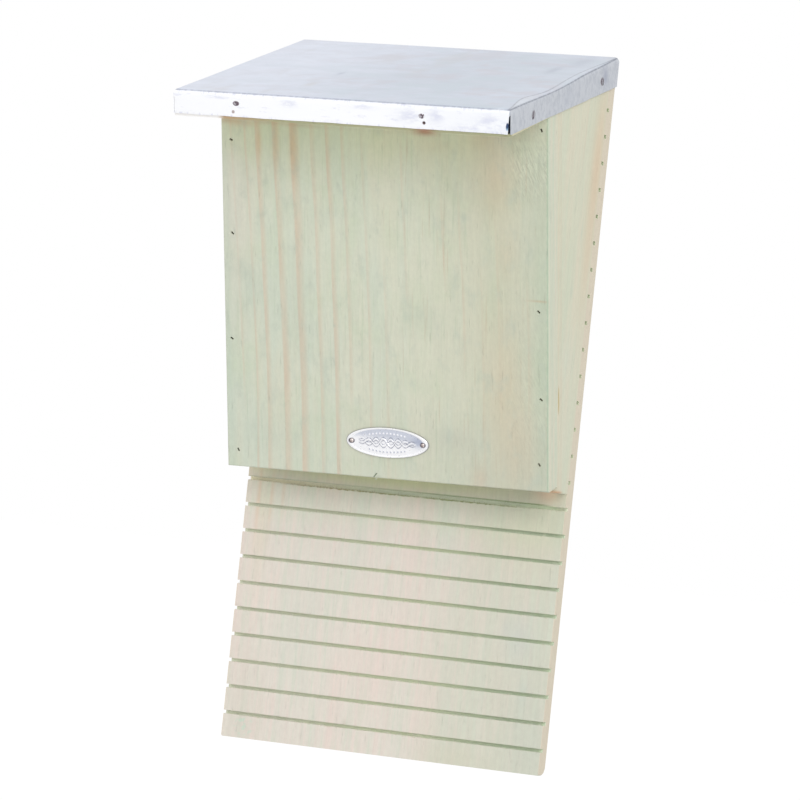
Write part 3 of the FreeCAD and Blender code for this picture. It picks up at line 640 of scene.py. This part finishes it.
def aluminium():
    """Bright pressed plate, its upper field painted blue-grey as a reflection, and speckled."""
    plate = Finish("name_plate_aluminium")
    place = plate.place(FRONT_SEAT, LEAN)
    across, out, up = plate.axes(place)
    x = across - PLATE_CENTRE[0]
    z = up - x * math.tan(PLATE_TILT) - PLATE_CENTRE[1]
    speck = plate.noise(place, (0.7, 0.7, 0.9), detail=4, rough=0.7)
    shape = x / (PLATE_LENGTH / 2)
    tall = z / (PLATE_HEIGHT / 2)
    share = (shape * shape + tall * tall).math("SQRT")
    inner = share.fade(0.85, 0.89)
    # painted reflection: the upper field blue-grey, darker at the right end by the pin
    tint_share = (tall + shape * 0.2 + (speck - 0.5) * 0.7).ramp(0, 0.45) * inner
    colour = plate.coat((252, 252, 255)).paint(tint_share * 0.85, (200, 205, 219))
    right_reflection = x.bell(22, 5) * z.bell(1, 3.5)
    colour.paint(right_reflection * inner * 0.6, (140, 152, 184))

    # pressed strands: painted highlights on the ridges, between dark outlines of painted shade
    fade = (1 - shape * shape * 1.9).clamp()
    phase = (x * BRAID_TURN).math("SINE") * fade * BRAID_RISE
    for side in (1, -1):
        distance = (z - phase * side).absolute()
        strand_shade = distance.bell(1, 0.36) * fade.ramp(0.05, 0.25) * speck.ramp(0.34, 0.52)
        colour.paint(strand_shade * 0.85, (112, 118, 142))
        colour.paint(distance.bell(0, 0.55) * fade.ramp(0.05, 0.25) * 0.8, (252, 252, 255))
    beads = (x * BEAD_TURN).math("COSINE") * 0.5 + 0.5
    for side, strength, tint in ((1, 1, (250, 250, 255)), (-1, 0.7, (176, 182, 200))):
        row = beads * (z * side - BEAD_LINE + x * x * BEAD_BOW).bell(0, 0.7) * x.absolute().fade(12, 14)
        colour.paint(row.ramp(0.3, 0.7) * strength, tint)

    # dark rings round the pins, and the rim's dark outer line of painted shade
    for side in (-1, 1):
        ring = x.bell(side * PIN_REACH, 2.5) * z.bell(0, 2.1)
        colour.paint(ring.ramp(0.4, 0.62) * speck.ramp(0.3, 0.46), (84, 78, 92))
    colour.paint(share.ramp(0.965, 0.99) * 0.8, (140, 140, 138))
    return plate.set(Base_Color=colour, Metallic=0.6, Roughness=speck * 0.2 + 0.2)


def plain_metal(name, tint, dark, roughness, metallic=1, scale=0.6):
    metal = Finish(name, Roughness=roughness, Metallic=metallic)
    tarnish = metal.noise(metal.place(), (scale, scale, scale))
    return metal.set(Base_Color=metal.coat(tint).paint(tarnish.ramp(0.42, 0.66), dark))


def stained_zinc():
    """Sheet nails: a painted highlight in the middle of the head, dark purplish brown round it."""
    nail = Finish("zinc_nail", Roughness=0.45, Metallic=0.6)
    across, along, up = nail.axes(nail.place(ROOF_SEAT, LEAN))
    colour = nail.coat((100, 86, 94))
    # painted highlights on the heads
    for x, y, z in front_places(FRONT_NAILS):
        middle = across.bell(x - 0.45, 0.7) * up.bell(z - 0.3, 0.5)
        colour.paint(middle, (214, 212, 220))
    for x, y, z in side_places(1, SIDE_NAILS):
        middle = along.bell(y - 0.3, 0.6) * up.bell(z - 0.1, 0.4)
        colour.paint(middle, (186, 184, 192))
    return nail.set(Base_Color=colour)


# Pieces

def linked(name, data):
    thing = bpy.data.objects.new(name, data)
    bpy.context.scene.collection.objects.link(thing)
    return thing


def add_piece(name, mesh, slot, *nodes):
    piece = linked(name, mesh)
    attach(piece, "root")
    if nodes:
        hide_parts(*nodes)


def mesh_from(name, bm, matrix, material, sharp=30):
    """A finished mesh from millimetres in a board's frame, smooth but for its sharp edges."""
    bmesh.ops.transform(bm, matrix=matrix, verts=bm.verts)
    mesh = bpy.data.meshes.new(name)
    bm.to_mesh(mesh)
    bm.free()
    mesh.materials.append(material)
    mesh.polygons.foreach_set("use_smooth", [True] * len(mesh.polygons))
    mesh.set_sharp_from_angle(angle=math.radians(sharp))
    return mesh


def baked(name, mesh, *modifiers):
    """The mesh with modifiers applied: each a type, its settings and its sockets by identifier."""
    carrier = linked(name, mesh)
    for kind, settings, sockets in modifiers:
        modifier = carrier.modifiers.new(kind.lower(), kind)
        for key, value in settings.items():
            setattr(modifier, key, value)
        for key, value in sockets.items():
            modifier[key] = value
    depsgraph = bpy.context.evaluated_depsgraph_get()
    done = bpy.data.meshes.new_from_object(carrier.evaluated_get(depsgraph))
    done.name = name
    bpy.data.objects.remove(carrier)
    return done


def smooth_step(low, high, value):
    share = min(max((value - low) / (high - low), 0.0), 1.0)
    return share * share * (3 - 2 * share)


def bell(value, centre, width):
    """1 where value is centre, falling to 0 on both sides."""
    return math.exp(-((value - centre) / width) ** 2)


def wave(x, y, seed):
    """Smooth noise of -1 to 1."""
    return noise.noise(Vector((x, y, seed)))


# The folded sheet: one skin over the roof board, with open corner seams

TOP_COLUMNS, SLOPE_ROWS = 74, 76
BEND_STEPS, FLANGE_STEPS = 6, 8


def flange_foot(along):
    """Height of the side flanges' lower edge: they deepen towards the wall."""
    share = (along + SHEET_FRONT) / SHEET_FRONT
    return SHEET_TOP - FRONT_FLANGE - share * (BACK_FLANGE - FRONT_FLANGE)


def seam_end(share, side):
    """Half width of the front flange at a share of its depth: a ragged, snipped end."""
    if side < 0:
        return SHEET_HALF - SHEET_THICKNESS - 0.12
    return SHEET_HALF - SHEET_THICKNESS - 0.6 - 0.5 * share + 0.22 * wave(share * 7, side, 3.3)


def top_lift(across, along):
    """How far the top stands off the board: faint waves, and a crumple by the right fold."""
    lift = 0.16 * (1 + wave(across * 0.014, along * 0.02, 1.0))
    crest = 103.5 + 1.2 * wave(along * 0.05, 0, 5.0)
    towards_corner = 1 - smooth_step(-170, -75, along)
    lift += 0.75 * towards_corner * bell(across, crest, 2.6)
    return lift + 0.35 * bell(across, 92, 9) * bell(along, -60, 18)


def side_swell(side, along, height):
    """How far a side flange stands off: hand-dressed waves, stronger on the right."""
    strength = 0.34 if side > 0 else 0.2
    swell = strength * (1 + wave(along * 0.035, height * 0.05, 7.0 + side))
    return swell * smooth_step(SHEET_TOP, SHOULDER, height)


def sheet_section():
    """The section across the sheet, foot to foot: (side, turn of the fold, flange share, across)."""
    flange = [(QUARTER, 1 - step / FLANGE_STEPS) for step in range(FLANGE_STEPS)]
    fold = [(QUARTER * (1 - step / BEND_STEPS), 0.0) for step in range(BEND_STEPS)]
    rise = [(-1, turn, share, TOP_EDGE) for turn, share in flange + fold]
    top = [(0, 0.0, 0.0, -TOP_EDGE + 2 * TOP_EDGE * i / TOP_COLUMNS) for i in range(TOP_COLUMNS + 1)]
    return rise + top + [(1, turn, share, across) for _, turn, share, across in reversed(rise)]


def sheet_point(side, turn, share, across, along):
    """A point of the folded skin, mm in the roof's frame."""
    if side == 0:
        return Vector((across, along, SHEET_TOP + top_lift(across, along)))
    height = SHOULDER + SHEET_BEND * math.cos(turn) - share * (SHOULDER - flange_foot(along))
    out = TOP_EDGE + SHEET_BEND * math.sin(turn) + side_swell(side, along, height)
    lift = top_lift(side * TOP_EDGE, along) * math.cos(turn)
    ragged = 0.25 * share * wave(along * 0.09, side, 2.0)
    return Vector((side * out, along, height + lift + ragged))


def front_point(column, turn, share):
    """A point of the front fold and flange, mm in the roof's frame."""
    side = 1 if column > TOP_COLUMNS / 2 else -1
    reach = TOP_EDGE + SHEET_BEND * math.sin(turn) if share == 0 else seam_end(share, side)
    across = (2 * column / TOP_COLUMNS - 1) * reach
    along = -(FRONT_EDGE + SHEET_BEND * math.sin(turn))
    height = SHOULDER + SHEET_BEND * math.cos(turn) - share * (SHOULDER - SHEET_TOP + FRONT_FLANGE)
    lift = top_lift(across, -FRONT_EDGE) * math.cos(turn)
    swell = 0.14 * (1 + wave(across * 0.03, height * 0.04, 11.0))
    swell *= smooth_step(SHEET_TOP, SHOULDER, height)
    curl = 0.9 * smooth_step(0.45, 0.8, share) * smooth_step(TOP_EDGE - 5, TOP_EDGE + 2, across)
    ragged = 0.3 * share * wave(across * 0.07, 4.0, 6.0)
    return Vector((across, along - swell - curl, height + lift + ragged))


def hole_punches(material):
    """Pins that punch the stray nail holes, mm in the roof's frame."""
    bm = bmesh.new()
    holes = [("X", place) for place in front_places(FRONT_HOLES)]
    for side in (-1, 1):
        holes += [("Y", place) for place in side_places(side, SIDE_HOLES)]
    for axis, place in holes:
        turned = Matrix.Translation(place) @ Matrix.Rotation(QUARTER, 4, axis)
        bmesh.ops.create_cone(bm, cap_ends=True, segments=20, radius1=HOLE_RADIUS,
                              radius2=HOLE_RADIUS, depth=3, matrix=turned)
    return linked("hole_punches", mesh_from("hole_punches", bm, Matrix(), material))


def roof_sheet(material):
    bm = bmesh.new()
    section = sheet_section()
    grid = []
    for side, turn, share, across in section:
        front = -(FRONT_EDGE + SHEET_BEND * math.sin(turn))
        column = []
        for row in range(SLOPE_ROWS + 1):
            along = front * (1 - row / SLOPE_ROWS)
            point = sheet_point(side, turn, share, across, along)
            # the rear edge is cut along the wall
            point.y += point.z * SLOPE * (row / SLOPE_ROWS)
            column.append(bm.verts.new(point))
        grid.append(column)
    for left, right in zip(grid, grid[1:]):
        for row in range(SLOPE_ROWS):
            bm.faces.new((left[row], right[row], right[row + 1], left[row + 1]))

    steps = [(QUARTER * k / BEND_STEPS, 0.0) for k in range(BEND_STEPS + 1)]
    steps += [(QUARTER, k / FLANGE_STEPS) for k in range(1, FLANGE_STEPS + 1)]
    columns = range(TOP_COLUMNS + 1)
    rows = [[bm.verts.new(front_point(column, *step)) for column in columns] for step in steps]
    for upper, lower in zip(rows, rows[1:]):
        for i in range(TOP_COLUMNS):
            bm.faces.new((lower[i], lower[i + 1], upper[i + 1], upper[i]))
    bmesh.ops.remove_doubles(bm, verts=bm.verts, dist=0.02)

    skin = mesh_from("roof_sheet_skin", bm, Matrix(), material)
    punch = hole_punches(material)
    thick = baked("roof_sheet_thick", skin,
                  ("SOLIDIFY", {"thickness": SHEET_THICKNESS, "offset": -1.0}, {}),
                  ("BOOLEAN", {"object": punch, "operation": "DIFFERENCE", "solver": "EXACT"}, {}))
    bpy.data.objects.remove(punch)
    bm = bmesh.new()
    bm.from_mesh(thick)
    for vertex in bm.verts:
        vertex.co.y = min(vertex.co.y, vertex.co.z * SLOPE)
    return mesh_from("folded_roof_sheet", bm, ROOF, material, sharp=40)


# The oval plate: a pressed rim round a plain braid between two rows of beads

PLATE_RINGS = 60
PLATE_SPOKES = 224


def plate_relief(x, z):
    """Height of the pressed ornament over the plate's field, mm."""
    shape = x / (PLATE_LENGTH / 2)
    fade = max(1 - 1.9 * shape * shape, 0.0)
    strand = math.sin(BRAID_TURN * x) * fade * BRAID_RISE
    ridge = max(bell(z, side * strand, 0.75) for side in (1, -1))
    height = ridge * smooth_step(0.05, 0.25, fade)
    beads = 0.5 + 0.5 * math.cos(BEAD_TURN * x)
    for side in (1, -1):
        row = bell(side * z, BEAD_LINE - BEAD_BOW * x * x, 0.8)
        height = max(height, beads * row * (1 - smooth_step(12, 14, abs(x))))
    return 0.5 * height


def plate_profile(share, x, z):
    """Height over the board at a share of the oval's radius."""
    inset = (1 - share) * PLATE_HEIGHT / 2
    field = PLATE_THICKNESS - PLATE_RECESS
    if inset < 0.12:
        return PLATE_THICKNESS * 0.55 * smooth_step(0, 0.12, inset)
    rim = bell(inset, PLATE_RIM / 2, 0.5)
    ornament = plate_relief(x, z) * smooth_step(PLATE_RIM, PLATE_RIM + 0.8, inset)
    dome = 0.18 * (1 - share * share)
    return field * smooth_step(-0.15, 0.35, inset) + PLATE_RECESS * rim + ornament + dome


def name_plate(material):
    bm = bmesh.new()
    shares = [math.sin(QUARTER * ring / PLATE_RINGS) for ring in range(1, PLATE_RINGS + 1)]
    turned = Matrix.Rotation(-PLATE_TILT, 4, "Y")

    def point(share, angle, lift=None):
        x = PLATE_LENGTH / 2 * share * math.cos(angle)
        z = PLATE_HEIGHT / 2 * share * math.sin(angle)
        height = plate_profile(share, x, z) if lift is None else lift
        spot = turned @ Vector((x, -height, z))
        return spot + Vector((PLATE_CENTRE[0], -FRONT_THICKNESS, PLATE_CENTRE[1]))

    angles = [2 * math.pi * spoke / PLATE_SPOKES for spoke in range(PLATE_SPOKES)]
    middle = bm.verts.new(point(0.0, 0.0))
    rings = [[bm.verts.new(point(share, angle)) for angle in angles] for share in shares]
    rings.append([bm.verts.new(point(1.0, angle, 0.0)) for angle in angles])
    back = bm.verts.new(point(0.0, 0.0, 0.0))
    for i in range(PLATE_SPOKES):
        j = (i + 1) % PLATE_SPOKES
        bm.faces.new((middle, rings[0][i], rings[0][j]))
        for inner, outer in zip(rings, rings[1:]):
            bm.faces.new((inner[i], outer[i], outer[j], inner[j]))
        bm.faces.new((rings[-1][j], rings[-1][i], back))
    bmesh.ops.remove_doubles(bm, verts=bm.verts, dist=0.0001)
    bmesh.ops.recalc_face_normals(bm, faces=bm.faces)
    return mesh_from("oval_name_plate", bm, FRONT, material, sharp=50)


# Geometry Nodes: nails with domed heads, and torn fibres along the grooves

class Pattern(Nodes):
    """A Geometry Nodes tree with named inputs, which ends in Realize Instances and Set Material."""

    def __init__(self, name, **sizes):
        super().__init__(bpy.data.node_groups.new(name, "GeometryNodeTree"))
        self.keys = {}
        face = self.tree.interface
        for way in ("INPUT", "OUTPUT"):
            face.new_socket("Geometry", in_out=way, socket_type="NodeSocketGeometry")
        for key, value in sizes.items():
            kind = "NodeSocketInt" if isinstance(value, int) else "NodeSocketFloat"
            socket = face.new_socket(key, in_out="INPUT", socket_type=kind)
            socket.default_value = value
            self.keys[key] = socket.identifier
        self.source = self.tree.nodes.new("NodeGroupInput")

    def __getitem__(self, key):
        return Sock(self.tree, self.source.outputs[key])

    def chance(self, low, high, seed, index=None):
        """A random vector between two corners for each point."""
        return self.node("FunctionNodeRandomValue", {"data_type": "FLOAT_VECTOR"},
                         i0=low, i1=high, Seed=seed, ID=index)

    def close(self, points, instance, rotation, scale, material):
        """Ends the tree: one instance on each point, realized and with its material."""
        instances = self.node("GeometryNodeInstanceOnPoints", Points=points, Instance=instance,
                              Rotation=rotation, Scale=scale)
        realized = self.node("GeometryNodeRealizeInstances", Geometry=instances)
        finished = self.node("GeometryNodeSetMaterial", Geometry=realized, Material=material)
        output = self.tree.nodes.new("NodeGroupOutput")
        feed(self.tree, output.inputs[0], finished)

    def grown(self, name, mesh, **sizes):
        """The pattern grown on a mesh, as a plain mesh."""
        sockets = {self.keys[key]: value for key, value in sizes.items()}
        return baked(name, mesh, ("NODES", {"node_group": self.tree}, sockets))


def nail_pattern(material):
    """Round nails on points that carry the attribute facing: shank inwards, domed head outside."""
    nails = Pattern("domed_nails", head=1.2, dome=0.55, shank=0.75, length=16.0, tilt=0.12, seed=3)
    ball = nails.node("GeometryNodeMeshUVSphere", Segments=16, Rings=8, Radius=1.0)
    flat = nails.joined(nails["head"], nails["head"], nails["dome"])
    head = nails.node("GeometryNodeTransform", Geometry=ball, Scale=flat)
    shank = nails.node("GeometryNodeMeshCylinder", Vertices=12, Radius=nails["shank"],
                       Depth=nails["length"])
    sunk = nails.joined(0.0, 0.0, nails["length"] * -0.5)
    shank = nails.node("GeometryNodeTransform", Geometry=shank, Translation=sunk)
    join = nails.tree.nodes.new("GeometryNodeJoinGeometry")
    for part in (head, shank):
        nails.tree.links.new(part.socket, join.inputs[0])
    facing = nails.node("GeometryNodeInputNamedAttribute", {"data_type": "FLOAT_VECTOR"},
                        Name="facing")
    aligned = nails.node("FunctionNodeAlignRotationToVector", {"axis": "Z"}, Vector=facing)
    swing = nails.scaled(nails.chance((-1, -1, -1), (1, 1, 1), nails["seed"]), nails["tilt"])
    rotation = nails.node("FunctionNodeRotateRotation", {"rotation_space": "LOCAL"},
                          Rotation=aligned, Rotate_By=swing)
    spots = nails.node("GeometryNodeMeshToPoints", Mesh=nails["Geometry"])
    nails.close(spots, Sock(nails.tree, join.outputs[0]), rotation, (1, 1, 1), material)
    return nails


def add_nails(name, node, slot, pattern, places, way, matrix, **sizes):
    """Domed nails in place of a node, on bare points that carry the direction which they face."""
    points = bpy.data.meshes.new(node)
    points.from_pydata(places, [], [])
    facing = points.attributes.new("facing", "FLOAT_VECTOR", "POINT")
    facing.data.foreach_set("vector", way * len(places))
    mesh = pattern.grown(name, points, **sizes)
    mesh.transform(matrix)
    add_piece(name, mesh, slot, node)


def add_sheet_nails(pattern):
    groups = {
        "sheet_nails_front": (front_places(FRONT_NAILS), (0, -1, 0)),
        "sheet_nails_left": (side_places(-1, SIDE_NAILS), (-1, 0, 0)),
        "sheet_nails_right": (side_places(1, SIDE_NAILS), (1, 0, 0)),
    }
    for node, (places, way) in groups.items():
        add_nails(f"domed_{node}", node, "zinc_nail", pattern, places, way, ROOF, tilt=0.16)


def add_plate_pins(pattern):
    face = -FRONT_THICKNESS - PLATE_THICKNESS + PLATE_RECESS
    places = [(PLATE_CENTRE[0] + side * PIN_REACH * math.cos(PLATE_TILT), face,
               PLATE_CENTRE[1] + side * PIN_REACH * math.sin(PLATE_TILT)) for side in (-1, 1)]
    add_nails("domed_plate_pins", "name_plate_pins", "brass_pin", pattern, places, (0, -1, 0), FRONT,
              head=1.4, dome=0.85, shank=0.6, length=9.0, tilt=0.05, seed=5)


def splinter_pattern(material):
    """Torn fibres along edges: short wedges with the grain, with random gaps and lengths."""
    torn = Pattern("torn_fibres", spacing=1.1, thickness=0.22, length=1.3, kept=0.45, swing=0.35,
                   seed=8)
    line = torn.node("GeometryNodeMeshToCurve", Mesh=torn["Geometry"])
    spots = torn.node("GeometryNodeCurveToPoints", {"mode": "LENGTH"}, Curve=line,
                      Length=torn["spacing"])
    index = torn.node("GeometryNodeInputIndex")
    share, stretch, _ = torn.axes(torn.chance((0, 0, 0), (1, 1, 1), torn["seed"], index))
    kept = torn.node("FunctionNodeCompare", {"data_type": "FLOAT", "operation": "LESS_THAN"},
                     i0=share, i1=torn["kept"])
    spots = torn.node("GeometryNodeSeparateGeometry", {"domain": "POINT"}, Geometry=spots,
                      Selection=kept)
    wedge = torn.node("GeometryNodeMeshCone", Vertices=4, Radius_Top=0.1 * torn["thickness"],
                      Radius_Bottom=torn["thickness"], Depth=torn["length"])
    lean = torn.scaled(torn.chance((-1, -1, -1), (1, 1, 1), 21, index), torn["swing"])
    scale = torn.joined(1.0, 0.6, stretch * stretch * 1.4 + 0.3)
    torn.close(spots, wedge, lean, scale, material)
    return torn


def add_groove_fibres(pattern):
    """Torn fibres on the upper and lower edges of the grooves that show on the tail."""
    face = 0.05 - BACK_THICKNESS
    tops = [groove * GROOVE_PITCH for groove in range(1, int(TAIL_LENGTH // GROOVE_PITCH) + 1)]
    rows = [row for top in tops for row in (top - 0.15, top - GROOVE_HEIGHT + 0.1)]
    points = [(side * (HALF - 1), face, row) for row in rows for side in (-1, 1)]
    mesh = bpy.data.meshes.new("groove_edges")
    mesh.from_pydata(points, [(i, i + 1) for i in range(0, len(points), 2)], [])
    fibres = pattern.grown("torn_groove_fibres", mesh)
    fibres.transform(WALL)
    add_piece("torn_groove_fibres", fibres, "back_board_pine")


def add_foot_splinter(material):
    """A curled sliver that stands up from the lower edge of the front board."""
    bm = bmesh.new()
    rings = []
    for step in range(SLIVER_STEPS + 1):
        share = step / SLIVER_STEPS
        middle = SLIVER_FOOT + SLIVER_RISE * share
        half = SLIVER_HALF * (1 - 0.8 * share)
        inner, outer = 0.3 * (1 - 0.6 * share), -0.1 * (1 - 0.6 * share)
        corners = ((-half, inner), (half, inner), (half, outer), (-half, outer))
        rings.append([bm.verts.new(middle + Vector((dx, dy, 0))) for dx, dy in corners])
    for lower, upper in zip(rings, rings[1:]):
        for i in range(4):
            j = (i + 1) % 4
            bm.faces.new((lower[i], lower[j], upper[j], upper[i]))
    bm.faces.new(rings[0])
    bm.faces.new(rings[-1])
    bmesh.ops.recalc_face_normals(bm, faces=bm.faces)
    splinter = mesh_from("front_board_splinter", bm, FRONT, material)
    add_piece("front_board_splinter", splinter, "front_board_pine")


# Camera, light and ground

def add_camera():
    camera = linked("camera", bpy.data.cameras.new("camera"))
    camera.location = CAMERA_PLACE
    camera.rotation_euler = Euler([math.radians(angle) for angle in CAMERA_TURN])
    camera.data.lens = CAMERA_LENS
    camera.data.sensor_width = CAMERA_SENSOR
    bpy.context.scene.camera = camera


def add_lamp():
    lamp = linked("key", bpy.data.lights.new("key", "AREA"))
    lamp.location = LAMP_PLACE
    lamp.rotation_euler = (LAMP_TARGET - LAMP_PLACE).to_track_quat("-Z", "Y").to_euler()
    lamp.data.shape = "DISK"
    lamp.data.size = LAMP_SIZE
    lamp.data.energy = LAMP_POWER


def add_world():
    """Soft light, brighter in front than behind; white to the camera."""
    world = bpy.data.worlds.new("studio")
    bpy.context.scene.world = world
    world.use_nodes = True
    sky = Nodes(world.node_tree)
    depth = sky.axes(sky.node("ShaderNodeTexCoord", output="Generated"))[1]
    light = sky.node("ShaderNodeBackground", Color=WHITE, Strength=1.0 - depth.ramp(-0.4, 0.8) * 0.35)
    white = sky.node("ShaderNodeBackground", Color=WHITE, Strength=1.0)
    camera_ray = sky.node("ShaderNodeLightPath", output="Is Camera Ray")
    glossy_ray = sky.node("ShaderNodeLightPath", output="Is Glossy Ray")
    share = (camera_ray + glossy_ray * 0.5).clamp()
    seen = sky.node("ShaderNodeMixShader", i0=share, i1=light, i2=white)
    feed(sky.tree, sky.tree.nodes["World Output"].inputs[0], seen)


def add_floor():
    """White paper far around and below the box, brighter to the camera than to the light."""
    mesh = bpy.data.meshes.new("floor")
    corners = ((-1, -1), (1, -1), (1, 1), (-1, 1))
    mesh.from_pydata([(x * FLOOR_REACH, y * FLOOR_REACH, TAIL_FOOT - FLOOR_DROP) for x, y in corners],
                     [], [(0, 1, 2, 3)])
    floor = linked("floor", mesh)
    paper = Finish("floor_paper", Base_Color=(0.85, 0.85, 0.85, 1), Roughness=0.9)
    white = paper.node("ShaderNodeEmission", Color=WHITE, Strength=1.05)
    camera_ray = paper.node("ShaderNodeLightPath", output="Is Camera Ray")
    shader = Sock(paper.tree, paper.shader.outputs[0])
    seen = paper.node("ShaderNodeMixShader", i0=camera_ray * 0.9, i1=shader, i2=white)
    feed(paper.tree, paper.tree.nodes["Material Output"].inputs[0], seen)
    floor.data.materials.append(paper.material)


def dress(nodes, material):
    """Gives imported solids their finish."""
    for node in nodes:
        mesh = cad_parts[node].data
        mesh.materials.clear()
        mesh.materials.append(material)


bpy.context.scene.view_settings.view_transform = "Standard"
add_camera()
add_world()
add_lamp()
add_floor()

back_finish = back_pine()
front_finish = front_pine()
dress(["front_board"], front_finish)
dress(["left_side_board", "right_side_board"], side_pine())
dress(["back_board"], back_finish)
dress(["roof_board"], roof_pine())
board_nails = [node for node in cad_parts
               if node.startswith(("front_nails", "back_nails", "roof_nails"))]
dress(board_nails, plain_metal("nail_steel", (112, 106, 92), (66, 62, 54), 0.6))

add_piece("folded_roof_sheet", roof_sheet(zinc()), "zinc_sheet", "roof_sheet")
add_piece("oval_name_plate", name_plate(aluminium()), "name_plate_aluminium", "name_plate")
add_sheet_nails(nail_pattern(stained_zinc()))
brass = plain_metal("brass_pin", (232, 222, 218), (140, 120, 116), 0.3, 0.8, scale=0.8)
add_plate_pins(nail_pattern(brass))
add_groove_fibres(splinter_pattern(back_finish))
add_foot_splinter(front_finish)
